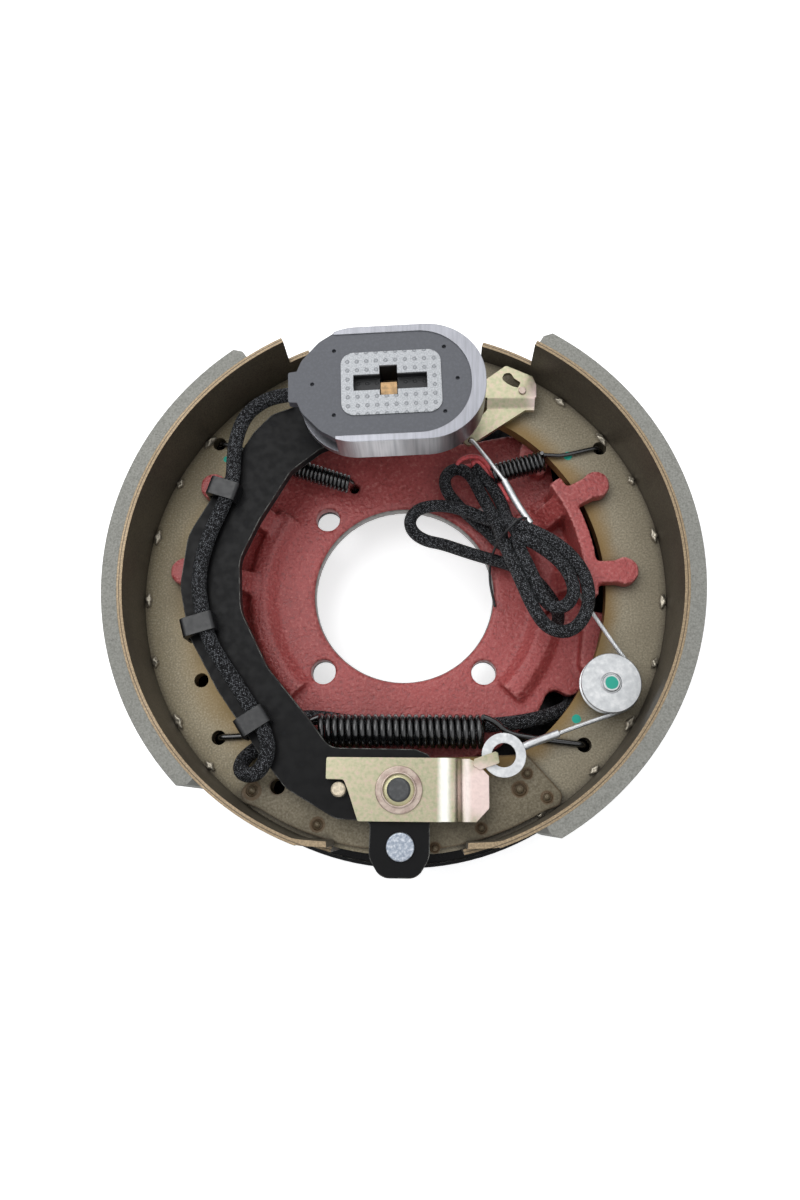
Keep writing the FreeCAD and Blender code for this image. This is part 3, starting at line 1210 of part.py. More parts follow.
make_casting()
make_brackets()
make_shield()
make_shield_ring()
make_anchor()
make_shoe(1, "secondary")
make_shoe(-1, "primary")
make_arm()
make_magnet()
make_link()
make_pulley()
make_adjuster()
make_lever()
make_springs()
make_cable()
make_lead()
make_pigtail()
check_and_export()
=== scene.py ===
"""Electric trailer brake assembly, lying on its back on a pale floor.

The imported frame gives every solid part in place. This file dresses those parts with finishes
and builds what a plain solid can't show: wound springs, braided leads, the tied pigtail,
the cast body with its soft edges, weld nuggets and pressed dimples.
"""

import logging
import math
from dataclasses import dataclass
from enum import Enum
from functools import partial
from typing import Callable, Iterable, Sequence

import bmesh
import bpy
from mathutils import Matrix, Vector


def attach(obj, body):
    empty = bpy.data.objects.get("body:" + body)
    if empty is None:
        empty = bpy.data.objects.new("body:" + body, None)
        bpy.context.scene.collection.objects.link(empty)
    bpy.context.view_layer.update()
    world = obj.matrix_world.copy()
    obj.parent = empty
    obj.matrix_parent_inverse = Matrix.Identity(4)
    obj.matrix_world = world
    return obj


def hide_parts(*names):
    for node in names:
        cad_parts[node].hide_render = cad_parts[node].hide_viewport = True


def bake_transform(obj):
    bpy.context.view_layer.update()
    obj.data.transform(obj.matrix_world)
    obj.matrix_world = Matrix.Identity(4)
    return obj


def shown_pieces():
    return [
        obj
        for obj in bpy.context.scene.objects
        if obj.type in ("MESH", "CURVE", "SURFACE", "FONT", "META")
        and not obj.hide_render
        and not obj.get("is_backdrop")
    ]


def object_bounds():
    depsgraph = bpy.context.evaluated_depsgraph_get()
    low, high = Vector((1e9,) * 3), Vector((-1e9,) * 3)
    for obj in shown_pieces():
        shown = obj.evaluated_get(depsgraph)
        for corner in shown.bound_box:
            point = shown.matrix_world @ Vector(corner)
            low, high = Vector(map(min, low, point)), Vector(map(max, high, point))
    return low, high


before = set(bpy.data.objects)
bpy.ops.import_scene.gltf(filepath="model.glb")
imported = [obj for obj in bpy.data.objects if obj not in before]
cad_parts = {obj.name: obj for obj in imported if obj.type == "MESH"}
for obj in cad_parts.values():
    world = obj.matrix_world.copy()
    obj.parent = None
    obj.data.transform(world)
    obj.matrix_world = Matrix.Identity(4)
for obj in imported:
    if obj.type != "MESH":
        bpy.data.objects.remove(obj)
CAD_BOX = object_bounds()
LOG = logging.getLogger("brake")

Point = tuple[float, float, float]
Place = tuple[float, float]
Spot = tuple[float, float, float, float]
Piece = bpy.types.Object
Material = bpy.types.Material
Socket = bpy.types.NodeSocket
Value = float | str | Point | Socket

SMOOTH = {"interpolation_type": "SMOOTHSTEP"}
COLOUR = {"data_type": "RGBA"}
TEAL = "#1fa892"


class Coords(Enum):
    """Where a pattern takes its coordinates from."""

    OBJECT = "Object"
    SURFACE = "UV"
    NORMAL = "Normal"


# Helpers for colours and nodes


def mm(x: float, y: float, z: float) -> Vector:
    """Point given in millimetres, in metres."""
    return Vector((x, y, z)) / 1000


def linear(code: str) -> tuple[float, float, float, float]:
    """Turn an sRGB hex colour into linear RGBA.

    Args:
        code: Six hex digits with a leading hash.

    Returns:
        The linear colour with full alpha.
    """
    values = [int(code[i : i + 2], 16) / 255 for i in (1, 3, 5)]
    return tuple(v / 12.92 if v <= 0.04045 else ((v + 0.055) / 1.055) ** 2.4 for v in values) + (1.0,)


def add(tree: bpy.types.NodeTree, kind: str, inputs: Sequence[Value] | dict = (), output: int | str = 0,
        **settings: object) -> Socket:
    """Add one node with its settings and links.

    Args:
        tree: Node tree that gets the node.
        kind: Node type, without its ShaderNode prefix.
        inputs: Value, hex colour or socket of each input, in order or by its name or index.
        output: Output that the caller wants.
        **settings: The node's own options.

    Returns:
        The wanted output.
    """
    node = tree.nodes.new("ShaderNode" + kind)
    for key, value in settings.items():
        setattr(node, key, value)
    for key, value in inputs.items() if isinstance(inputs, dict) else enumerate(inputs):
        if isinstance(value, Socket):
            tree.links.new(value, node.inputs[key])
        else:
            node.inputs[key].default_value = linear(value) if isinstance(value, str) else value
    return node.outputs[output]


class Paint:
    """A material in the making: its shader, and the colour that is laid on coat by coat."""

    def __init__(self, name: str, **sockets: float) -> None:
        """Start the material.

        Args:
            name: Name of the material.
            **sockets: Values of the shader's own inputs, with underscores for spaces.
        """
        self.made = bpy.data.materials.new(name)
        self.made.use_nodes = True
        self.tree = self.made.node_tree
        self.shader = self.tree.nodes["Principled BSDF"]
        self.add = partial(add, self.tree)
        self.colour: Value = "#808080"
        for key, value in sockets.items():
            self.shader.inputs[key.replace("_", " ")].default_value = value

    def coords(self, where: Coords = Coords.OBJECT) -> Socket:
        """Coordinates of the surface point."""
        return self.add("TexCoord", output=where.value)

    def axis(self, index: int, where: Coords = Coords.OBJECT) -> Socket:
        """One component of the coordinates."""
        return self.add("SeparateXYZ", (self.coords(where),), index)

    def grain(self, size_mm: float, stretch: Point = (1, 1, 1), detail: float = 3.0) -> Socket:
        """Noise whose lumps are about size_mm across.

        Args:
            size_mm: Width of a lump.
            stretch: How much finer the pattern is along each axis.
            detail: Noise detail.

        Returns:
            The noise value, from 0 to 1.
        """
        place = self.add("Mapping", {"Vector": self.coords(), "Scale": stretch})
        return self.add("TexNoise", {"Vector": place, "Scale": 500 / size_mm, "Detail": detail})

    def from_axis(self, x: float = 0.0, y: float = 0.0) -> Socket:
        """Distance in metres from the upright axis at a place in millimetres.

        Args:
            x: Place of the axis along X, where 0 is the wheel's own axis.
            y: Place of the axis along Y.

        Returns:
            The distance.
        """
        centred = self.add("VectorMath", (self.coords(), mm(x, y, 0)), operation="SUBTRACT")
        flat = self.add("VectorMath", (centred, (1, 1, 0)), operation="MULTIPLY")
        return self.add("VectorMath", (flat,), "Value", operation="LENGTH")

    def crevice(self, reach_mm: float, strength: float) -> Socket:
        """Mask of corners and recesses, where shade is painted.

        Args:
            reach_mm: Width of the recesses.
            strength: Value deep inside them.

        Returns:
            The strength in a recess, and 0 in the open.
        """
        open_share = self.add("AmbientOcclusion", {"Distance": reach_mm / 1000}, "AO", samples=8)
        return self.add("MapRange", (open_share, 0.35, 0.9, strength, 0), **SMOOTH)

    def rim(self, reach_mm: float, samples: int = 4, flat: float = 0.95) -> Socket:
        """Mask of the edges, where a rounded normal turns away from the true one.

        Args:
            reach_mm: Width of the edge.
            samples: Samples of the rounded normal.
            flat: Cosine of the turn at which the mask is full.

        Returns:
            1 on an edge and 0 on a face.
        """
        eased = self.add("Bevel", {"Radius": reach_mm / 1000}, samples=samples)
        true = self.add("NewGeometry", output="True Normal")
        turn = self.add("VectorMath", (eased, true), "Value", operation="DOT_PRODUCT")
        return self.add("MapRange", (turn, flat, 0.998, 1, 0), **SMOOTH)

    def near(self, spots: Iterable[Spot], soft_mm: float = 0.4) -> Socket:
        """Mask of round spots with uneven edges.

        Args:
            spots: Centre and radius of each spot in millimetres.
            soft_mm: Width of each spot's soft edge.

        Returns:
            1 inside a spot and 0 outside.
        """
        wobble_m = 0.0012
        wobble = self.grain(3.0)
        total: Value = 0.0
        for x, y, z, radius in spots:
            away = self.add("VectorMath", (self.coords(), mm(x, y, z)), "Value", operation="DISTANCE")
            uneven = self.add("Math", (wobble, wobble_m, away), operation="MULTIPLY_ADD")
            edge = radius / 1000 + wobble_m / 2
            inside = self.add("MapRange", (uneven, edge, edge + soft_mm / 1000, 1, 0), **SMOOTH)
            total = self.add("Math", (inside, total), operation="MAXIMUM")
        return total

    def tones(self, pattern: Socket, stops: Sequence[tuple[float, str]]) -> None:
        """Start the colour as tones that follow a pattern.

        Args:
            pattern: Value that runs through the tones.
            stops: Value and hex colour of each tone.
        """
        self.colour = stops[0][1]
        for (low, _), (high, code) in zip(stops, stops[1:]):
            self.coat(code, self.add("MapRange", (pattern, low, high, 0, 1)))

    def coat(self, colour: Value, share: Socket, strength: Value = 1.0) -> None:
        """Lay a colour over the one that is there.

        Args:
            colour: Hex code or socket of the new colour.
            share: Mask of the coat.
            strength: Factor or second mask that the first is multiplied by.
        """
        if strength != 1.0:
            share = self.add("Math", (share, strength), operation="MULTIPLY")
        self.colour = self.add("Mix", {0: share, 6: self.colour, 7: colour}, 2, **COLOUR)

    def drive(self, name: str, value: Socket) -> None:
        """Let a shader input follow a socket."""
        self.tree.links.new(value, self.shader.inputs[name])

    def relief(self, height: Socket, depth_mm: float, edge_mm: float = 0.0) -> None:
        """Join a height to the shader's normal.

        Args:
            height: Height of the surface, from 0 to 1.
            depth_mm: Depth that the height stands for.
            edge_mm: Radius that edges are rounded by.
        """
        inputs = {"Strength": 1.0, "Distance": depth_mm / 1000, "Height": height}
        if edge_mm:
            inputs["Normal"] = self.add("Bevel", {"Radius": edge_mm / 1000}, samples=4)
        self.drive("Normal", self.add("Bump", inputs))

    def finished(self) -> Material:
        """Join the colour to the shader and hand over the material."""
        self.drive("Base Color", self.colour)
        return self.made


# Finishes


@dataclass(frozen=True)
class CastEnamel:
    """Iron sand casting dipped in red enamel: the sand's grain shows through a satin film."""

    name: str = "red_enamel_on_sand_casting"
    film: str = "#ab4b4a"
    deep: str = "#953e3c"
    # Painted highlight tone, for sparkle on the grain and along crests.
    glint: str = "#cf8884"
    # Dark pits of the sand's grain, and the painted shade in corners and recesses.
    pits_and_corner_shade: str = "#5b2021"
    machined: str = "#7d7a77"
    bore_mm: float = 51.7
    sand_mm: float = 0.85

    def material(self) -> Material:
        """Build the enamel, with painted shade in its corners and painted glints on its grain and crests,
        worn to bare iron in the machined bore.

        Returns:
            The material.
        """
        paint = Paint(self.name, Roughness=0.45)
        sand = paint.grain(self.sand_mm, detail=4)
        paint.tones(paint.grain(30), ((0.3, self.deep), (0.6, self.film)))
        # Pale specks on the grain: partly the enamel's own grain tone, partly painted sparkle.
        paint.coat(self.glint, paint.add("MapRange", (sand, 0.5, 0.78, 0, 0.5), **SMOOTH))
        paint.coat(self.pits_and_corner_shade, paint.add("MapRange", (sand, 0.25, 0.5, 0.45, 0), **SMOOTH))
        # Painted shade in the corners and recesses.
        paint.coat(self.pits_and_corner_shade, paint.crevice(5, 0.1))
        # Painted highlight along convex crests, with some edge wear.
        ridge = paint.add("NewGeometry", output="Pointiness")
        crest = paint.add("MapRange", (ridge, 0.505, 0.56, 0, 0.6), **SMOOTH)
        paint.coat(self.glint, crest, paint.add("MapRange", (sand, 0.35, 0.55, 0, 1), **SMOOTH))
        worn = (paint.from_axis(), (self.bore_mm - 0.3) / 1000, self.bore_mm / 1000, 1, 0)
        bare = paint.add("MapRange", worn, **SMOOTH)
        paint.coat(self.machined, bare)
        paint.drive("Metallic", paint.add("Math", (bare, 0.8), operation="MULTIPLY"))
        paint.drive("Roughness", paint.add("MapRange", (sand, 0.3, 0.7, 0.3, 0.5), **SMOOTH))
        paint.relief(sand, 0.7)
        return paint.finished()


@dataclass(frozen=True)
class Enamel:
    """Sprayed paint on flat steel: a smooth film with a faint orange peel and a painted highlight along its
    edges.
    """

    name: str
    film: str
    rough: float = 0.4
    edge_mm: float = 0.5
    dust: str = "#1e1f22"
    # Pale tone of the painted highlight along the edges.
    worn: str = "#8d8d88"

    def material(self) -> Material:
        """Build the paint.

        Returns:
            The material.
        """
        paint = Paint(self.name, Roughness=self.rough, Specular_IOR_Level=0.15)
        speck = paint.grain(2.4, detail=6)
        paint.colour = self.film
        paint.coat(self.dust, paint.add("MapRange", (speck, 0.6, 0.8, 0, 0.5), **SMOOTH))
        patchy = paint.add("MapRange", (speck, 0.4, 0.6, 0.25, 0.95), **SMOOTH)
        # Painted highlight along the edges, patchy.
        paint.coat(self.worn, paint.rim(self.edge_mm), patchy)
        gloss = (speck, 0.3, 0.75, self.rough - 0.05, self.rough + 0.15)
        paint.drive("Roughness", paint.add("MapRange", gloss, **SMOOTH))
        paint.relief(paint.grain(1.4), 0.02, self.edge_mm)
        return paint.finished()


@dataclass(frozen=True)
class FrictionLining:
    """Moulded friction block: ground grey face with dark fibre and pale filler specks."""

    name: str = "moulded_friction_lining"
    body: str = "#8e8e88"
    speck: str = "#7a7a74"
    filler: str = "#9b9b95"
    pit: str = "#55554f"

    def material(self) -> Material:
        """Build the lining.

        Returns:
            The material.
        """
        paint = Paint(self.name, Roughness=0.9)
        fine = paint.grain(0.45, detail=5)
        paint.tones(fine, ((0.3, self.speck), (0.5, self.body), (0.7, self.filler)))
        paint.coat(self.speck, paint.add("MapRange", (paint.grain(16), 0.4, 0.7, 0, 0.15), **SMOOTH))
        pits = paint.grain(2.2, stretch=(1, 2, 1))
        paint.coat(self.pit, paint.add("MapRange", (pits, 0.72, 0.76, 0, 0.5), **SMOOTH))
        paint.relief(fine, 0.06, 0.4)
        return paint.finished()


@dataclass(frozen=True)
class ShoeCoat:
    """Shoe steel under a thin olive wash coat, with heat and oil stains and a bare front edge."""

    name: str
    coat: str = "#938a75"
    shade: str = "#7b7260"
    pale: str = "#aca48f"
    stain: str = "#86682f"
    stain_from: float = 111.0
    stain_to: float = 124.0
    edge: str = ""
    grit: str = "#ab9677"
    seam: str = "#33291d"
    seam_mm: float = 145.7
    rust: bool = False
    rust_tone: str = "#4d3a20"
    scorch: str = "#5a4226"
    painted_corner_shade: str = "#2a231a"
    spots: tuple[Spot, ...] = ()
    burns: tuple[Spot, ...] = ()

    def material(self) -> Material:
        """Build the coat with whichever of its stain, burns, bare edge, rust and dabs it has, and painted
        shade in its corners.

        Returns:
            The material.
        """
        paint = Paint(self.name, Roughness=0.5, Metallic=0.25)
        fine = paint.grain(0.5, detail=5)
        patch = paint.grain(22)
        paint.tones(fine, ((0.28, self.shade), (0.5, self.coat), (0.74, self.pale)))
        paint.coat(self.shade, paint.add("MapRange", (patch, 0.45, 0.75, 0, 0.35), **SMOOTH))
        if self.stain_to > self.stain_from:
            self.stained(paint)
        if self.burns:
            nuggets = [(x, y, z, radius - 1.5) for x, y, z, radius in self.burns]
            paint.coat(self.scorch, paint.near(self.burns, 1.0), 0.75)
            paint.coat(self.coat, paint.near(nuggets, 0.6), 0.8)
        if self.edge:
            self.bared(paint, fine)
        if self.rust:
            uneven = paint.add("MapRange", (paint.grain(5), 0.35, 0.6, 0.5, 1), **SMOOTH)
            paint.coat(self.rust_tone, paint.rim(2.0, 6, 0.93), uneven)
        # Painted shade in the corners, darkest where the web meets the table.
        paint.coat(self.painted_corner_shade, paint.crevice(7, 0.65))
        if self.spots:
            paint.coat(TEAL, paint.near(self.spots))
        paint.drive("Roughness", paint.add("MapRange", (patch, 0.3, 0.7, 0.42, 0.58), **SMOOTH))
        paint.relief(fine, 0.05, 0.4)
        return paint.finished()

    def stained(self, paint: Paint) -> None:
        """Stain the inner part of the web, with an uneven outer edge.

        Args:
            paint: Material in the making.
        """
        drift_mm = 16.0
        wheel = paint.from_axis()
        uneven = paint.add("Math", (paint.grain(20), drift_mm / 1000, wheel), operation="MULTIPLY_ADD")
        low, high = ((edge + drift_mm / 2) / 1000 for edge in (self.stain_from, self.stain_to))
        paint.coat(self.stain, paint.add("MapRange", (uneven, low, high, 0.85, 0), **SMOOTH))

    def bared(self, paint: Paint, fine: Socket) -> None:
        """Bare the faces that look forward, with a dark seam along the middle of the strip.

        Args:
            paint: Material in the making.
            fine: Fine noise of the coat.
        """
        under = paint.colour
        paint.colour = self.edge
        paint.coat(self.grit, paint.add("MapRange", (fine, 0.4, 0.65, 0, 1), **SMOOTH))
        aside = paint.add("Math", (paint.from_axis(), self.seam_mm / 1000), operation="SUBTRACT")
        away = paint.add("Math", (aside,), operation="ABSOLUTE")
        paint.coat(self.seam, paint.add("MapRange", (away, 0.00012, 0.0003, 0.8, 0), **SMOOTH))
        strip = paint.colour
        paint.colour = under
        facing = paint.axis(2, Coords.NORMAL)
        paint.coat(strip, paint.add("MapRange", (facing, 0.6, 0.8, 0, 1), **SMOOTH))


@dataclass(frozen=True)
class Zinc:
    """Electroplated zinc: metal under a passivated film whose tint drifts across the face."""

    name: str
    tints: tuple[tuple[float, str], ...]
    rough: float = 0.34
    patch_mm: float = 16.0
    # The real crystals are finer than a pixel, so they are drawn this coarse to show.
    sparkle_mm: float = 0.6
    blush_tone: str = "#e6cfcb"
    blush: tuple[Spot, ...] = ()
    # Painted highlight bands: from and to along X in millimetres, and colour.
    bend_highlights: tuple[tuple[float, float, str], ...] = ()
    spots: tuple[Spot, ...] = ()

    def material(self) -> Material:
        """Build the plating with its blush, painted highlight bands along its bends and its teal dabs.

        Returns:
            The material.
        """
        paint = Paint(self.name, Metallic=0.9, Roughness=self.rough)
        spangle = paint.grain(self.sparkle_mm, detail=4)
        centred = paint.add("Math", (spangle, 0.5), operation="SUBTRACT")
        mixed = paint.add("Math", (centred, 0.35, paint.grain(self.patch_mm)), operation="MULTIPLY_ADD")
        paint.tones(mixed, self.tints)
        if self.blush:
            paint.coat(self.blush_tone, paint.near(self.blush, 9.0), 0.85)
        # Painted highlights in bands across X, where the plate bends.
        for low_mm, high_mm, shine in self.bend_highlights:
            across = paint.axis(0)
            low, high, soft = low_mm / 1000, high_mm / 1000, 0.0035
            rise = paint.add("MapRange", (across, low, low + soft, 0, 1), **SMOOTH)
            fall = paint.add("MapRange", (across, high - soft, high, 0.85, 0), **SMOOTH)
            paint.coat(shine, rise, fall)
        if self.spots:
            teal = paint.near(self.spots)
            paint.coat(TEAL, teal)
            paint.drive("Metallic", paint.add("MapRange", (teal, 0.2, 0.8, 0.9, 0.0), **SMOOTH))
        gloss = (spangle, 0.35, 0.7, self.rough - 0.06, self.rough + 0.12)
        paint.drive("Roughness", paint.add("MapRange", gloss, **SMOOTH))
        paint.relief(spangle, 0.02, 0.35)
        return paint.finished()


@dataclass(frozen=True)
class GroundSteel:
    """Steel cup, ground on its face and milled down its sides: fine streaks run along the cut."""

    name: str = "ground_steel"
    steel: str = "#b9babd"
    dull: str = "#9b9da1"
    face: str = "#919298"
    scored: str = "#838489"

    def material(self) -> Material:
        """Build the steel, with one pair of tones for its sides and one for its face.

        Returns:
            The material.
        """
        paint = Paint(self.name, Metallic=1.0, Roughness=0.3)
        streak = paint.grain(0.7, stretch=(1, 0.08, 0.03), detail=5)
        paint.tones(streak, ((0.3, self.scored), (0.65, self.face)))
        front = paint.colour
        paint.tones(streak, ((0.3, self.dull), (0.65, self.steel)))
        facing = paint.axis(2, Coords.NORMAL)
        paint.coat(front, paint.add("MapRange", (facing, 0.5, 0.8, 0, 1), **SMOOTH))
        paint.drive("Roughness", paint.add("MapRange", (paint.grain(14), 0.3, 0.7, 0.3, 0.42), **SMOOTH))
        paint.relief(streak, 0.02, 0.5)
        return paint.finished()


@dataclass(frozen=True)
class PoleSteel:
    """Sintered pole plate: pale grey grained metal with rows of round pressed dimples."""

    name: str = "dimpled_pole_plate"
    pale: str = "#adafb2"
    grey: str = "#8d9093"
    # Colour of the painted shade in the dimples.
    pit: str = "#6b6e72"
    shadow: str = "#17181a"
    pitch_mm: float = 5.1
    face_mm: float = 79.3
    centre: Place = (-5.0, 97.5)
    tilt: float = 2.5

    def material(self) -> Material:
        """Build the plate, with painted shadow inside its slot and painted shade in its dimples.

        Returns:
            The material.
        """
        paint = Paint(self.name, Metallic=0.55, Roughness=0.5)
        dot = self.dots(paint)
        fine = paint.grain(0.4, detail=5)
        paint.tones(fine, ((0.33, self.grey), (0.62, self.pale)))
        # Painted shade in the dimples.
        paint.coat(self.pit, dot, 0.6)
        depth = (paint.axis(2), (self.face_mm - 1) / 1000, self.face_mm / 1000, 1, 0)
        deep = paint.add("MapRange", depth, **SMOOTH)
        # Painted shadow inside the slot.
        paint.coat(self.shadow, deep)
        paint.drive("Metallic", paint.add("MapRange", (deep, 0, 1, 0.55, 0.0), **SMOOTH))
        paint.relief(paint.add("Math", (dot, -2.0, fine), operation="MULTIPLY_ADD"), 0.1, 0.3)
        return paint.finished()

    def dots(self, paint: Paint) -> Socket:
        """Rows of dimples, each a ring of painted shade with a paler middle.

        Args:
            paint: Material in the making.

        Returns:
            The mask of the dimples.
        """
        centred = paint.add("VectorMath", (paint.coords(), mm(*self.centre, 0)), operation="SUBTRACT")
        turned = paint.add("Mapping", {"Vector": centred, "Rotation": (0, 0, -math.radians(self.tilt)),
                                       "Scale": (1000 / self.pitch_mm,) * 3})
        cell = paint.add("VectorMath", (turned,), operation="FRACTION")
        offset = paint.add("VectorMath", (cell, (0.5, 0.5, 0)), operation="SUBTRACT")
        flat = paint.add("VectorMath", (offset, (1, 1, 0)), operation="MULTIPLY")
        away = paint.add("VectorMath", (flat,), "Value", operation="LENGTH")
        dish = paint.add("MapRange", (away, 0.17, 0.25, 1, 0), **SMOOTH)
        middle = paint.add("MapRange", (away, 0.06, 0.15, 0.5, 0), **SMOOTH)
        return paint.add("Math", (dish, middle), operation="SUBTRACT")


@dataclass(frozen=True)
class PottingResin:
    """Filled epoxy poured round the winding and ground level: matt slate grey with vent holes."""

    name: str = "ground_epoxy_potting"
    resin: str = "#515359"
    pale: str = "#61646b"
    # Painted shade inside the vent holes.
    hole: str = "#141516"
    holes: tuple[Spot, ...] = ()

    def material(self) -> Material:
        """Build the resin, with painted shade inside its vent holes.

        Returns:
            The material.
        """
        paint = Paint(self.name, Roughness=0.55)
        fine = paint.grain(0.7, detail=5)
        scratch = paint.grain(3, stretch=(0.15, 4, 1), detail=6)
        paint.colour = self.resin
        paint.coat(self.pale, paint.add("MapRange", (fine, 0.4, 0.7, 0, 0.35), **SMOOTH))
        paint.coat(self.pale, paint.add("MapRange", (scratch, 0.6, 0.75, 0, 0.25), **SMOOTH))
        holes = paint.near(self.holes, 0.2)
        # Painted shade inside the vent holes.
        paint.coat(self.hole, holes)
        paint.relief(paint.add("Math", (holes, -6.0, fine), operation="MULTIPLY_ADD"), 0.05, 0.3)
        return paint.finished()


@dataclass(frozen=True)
class Braid:
    """Woven nylon sleeve: crossing strands with pale flecks on their crests, a painted highlight."""

    name: str = "braided_nylon_sleeve"
    dark: str = "#040405"
    strand: str = "#131416"
    # Pale tone of the painted highlight flecks.
    fleck: str = "#8b8e93"
    # The real strands are under a millimetre across, so they are drawn coarser to show.
    pitch_mm: float = 1.5
    slope: float = 0.82

    def material(self) -> Material:
        """Build the braid over the cord's own surface map, which is in metres.

        Returns:
            The material.
        """
        paint = Paint(self.name, Roughness=0.6, Specular_IOR_Level=0.2)
        rate = 1000 * math.pi / self.pitch_mm
        along = paint.add("Math", (paint.axis(0, Coords.SURFACE), rate), operation="MULTIPLY")
        around = paint.add("Math", (paint.axis(1, Coords.SURFACE), rate / self.slope), operation="MULTIPLY")
        crests = []
        for way in ("ADD", "SUBTRACT"):
            wave = paint.add("Math", (paint.add("Math", (along, around), operation=way),), operation="SINE")
            crests.append(paint.add("Math", (wave,), operation="ABSOLUTE"))
        high = paint.add("Math", crests, operation="MULTIPLY")
        fleck_noise = paint.grain(0.45, detail=6)
        paint.colour = self.dark
        paint.coat(self.strand, paint.add("MapRange", (high, 0.1, 0.6, 0, 1), **SMOOTH))
        # Painted highlight in pale flecks on the strand crests.
        flecks = paint.add("MapRange", (fleck_noise, 0.45, 0.62, 0, 0.9), **SMOOTH)
        paint.coat(self.fleck, flecks, paint.add("MapRange", (high, 0.2, 0.7, 0.15, 1), **SMOOTH))
        paint.relief(paint.add("Math", (fleck_noise, 0.5, high), operation="MULTIPLY_ADD"), 0.6)
        return paint.finished()


@dataclass(frozen=True)
class Moulded:
    """Moulded or drawn single-colour stock: nylon, rubber, wire or copper, with a small drift of shade."""

    name: str
    body: str
    rough: float = 0.5
    metal: float = 0.0
    coat: float = 0.0
    grain_mm: float = 1.2
    drift: float = 0.25

    def material(self) -> Material:
        """Build the stock.

        Returns:
            The material.
        """
        paint = Paint(self.name, Roughness=self.rough, Metallic=self.metal, Coat_Weight=self.coat,
                      Coat_Roughness=0.12)
        fine = paint.grain(self.grain_mm, detail=4)
        value = paint.add("MapRange", (fine, 0.3, 0.7, 1 - self.drift, 1 + self.drift), **SMOOTH)
        paint.colour = paint.add("HueSaturation", {"Color": self.body, "Value": value})
        gloss = (fine, 0.3, 0.7, max(self.rough - 0.06, 0.05), self.rough + 0.08)
        paint.drive("Roughness", paint.add("MapRange", gloss, **SMOOTH))
        paint.relief(fine, 0.03, 0.3)
        return paint.finished()


@dataclass(frozen=True)
class AnchorEnd:
    """Anchor bolt: black oxide on the turned end, yellow zinc on the shoulder round it."""

    name: str = "black_oxide_and_yellow_zinc"
    black: str = "#454647"
    worn: str = "#5f6061"
    shoulder: str = "#bdb894"
    place: Place = (0.0, -111.5)
    end_mm: float = 5.95

    def material(self) -> Material:
        """Build the two platings, split by their distance from the bolt's axis.

        Returns:
            The material.
        """
        paint = Paint(self.name, Metallic=0.6, Roughness=0.42)
        fine = paint.grain(0.9, detail=4)
        paint.colour = self.black
        paint.coat(self.worn, paint.add("MapRange", (fine, 0.4, 0.7, 0, 0.4), **SMOOTH))
        ring = (paint.from_axis(*self.place), self.end_mm / 1000, (self.end_mm + 0.1) / 1000, 0, 1)
        paint.coat(self.shoulder, paint.add("MapRange", ring, **SMOOTH))
        paint.drive("Roughness", paint.add("MapRange", (fine, 0.3, 0.7, 0.34, 0.5), **SMOOTH))
        paint.relief(fine, 0.03, 0.3)
        return paint.finished()


@dataclass(frozen=True)
class StudioFloor:
    """Matt pale paper that stays near white to the camera and keeps a soft shadow."""

    name: str = "pale_floor"
    paper: str = "#f2f2f3"
    patch: str = "#f4f4f4"
    glow: float = 0.62

    def material(self) -> Material:
        """Build the paper.

        Returns:
            The material.
        """
        paint = Paint(self.name, Roughness=0.95)
        paint.tones(paint.grain(300), ((0.0, self.paper), (1.0, self.patch)))
        rays = [paint.add("LightPath", output=kind) for kind in ("Is Camera Ray", "Is Glossy Ray")]
        seen = paint.add("Math", rays, operation="MAXIMUM")
        strength = paint.add("Math", (seen, self.glow), operation="MULTIPLY")
        shine = paint.add("Emission", {"Color": "#ffffff", "Strength": strength})
        both = paint.add("AddShader", (paint.shader.outputs[0], shine))
        paint.tree.links.new(both, paint.tree.nodes["Material Output"].inputs["Surface"])
        return paint.finished()


VENTS: tuple[Place, ...] = (
    (-35.8, 116.1), (-46.8, 96.8), (-34.8, 79.0), (22.7, 118.0), (29.9, 99.7), (23.4, 80.8))
DABS = ((93.5, 76.5, 29, 2.4), (-103, 76, 29, 1.6), (93, -73, 29, 2.2))
BURNS = ((-78, -112, 32.5, 4.6), (-43, -129, 32.5, 3.6), (62, -110, 32.5, 4.0), (66, -102, 32.5, 2.8),
         (76, -114, 32.5, 3.0), (42, -130, 32.5, 2.8), (18, -140, 32.5, 2.8))
CLEAR = ((0.25, "#b2b4b6"), (0.5, "#c4c6c7"), (0.75, "#dcdcdc"))
SPANGLE = ((0.3, "#848d9b"), (0.5, "#9ca4af"), (0.7, "#c8ccd2"))
YELLOW = ((0.25, "#9a9c80"), (0.42, "#a6a589"), (0.56, "#b0a88f"), (0.68, "#b8a795"), (0.8, "#ab9c90"))
ROSE = ((0.3, "#97827a"), (0.6, "#b8a99d"), (0.8, "#ad988f"))


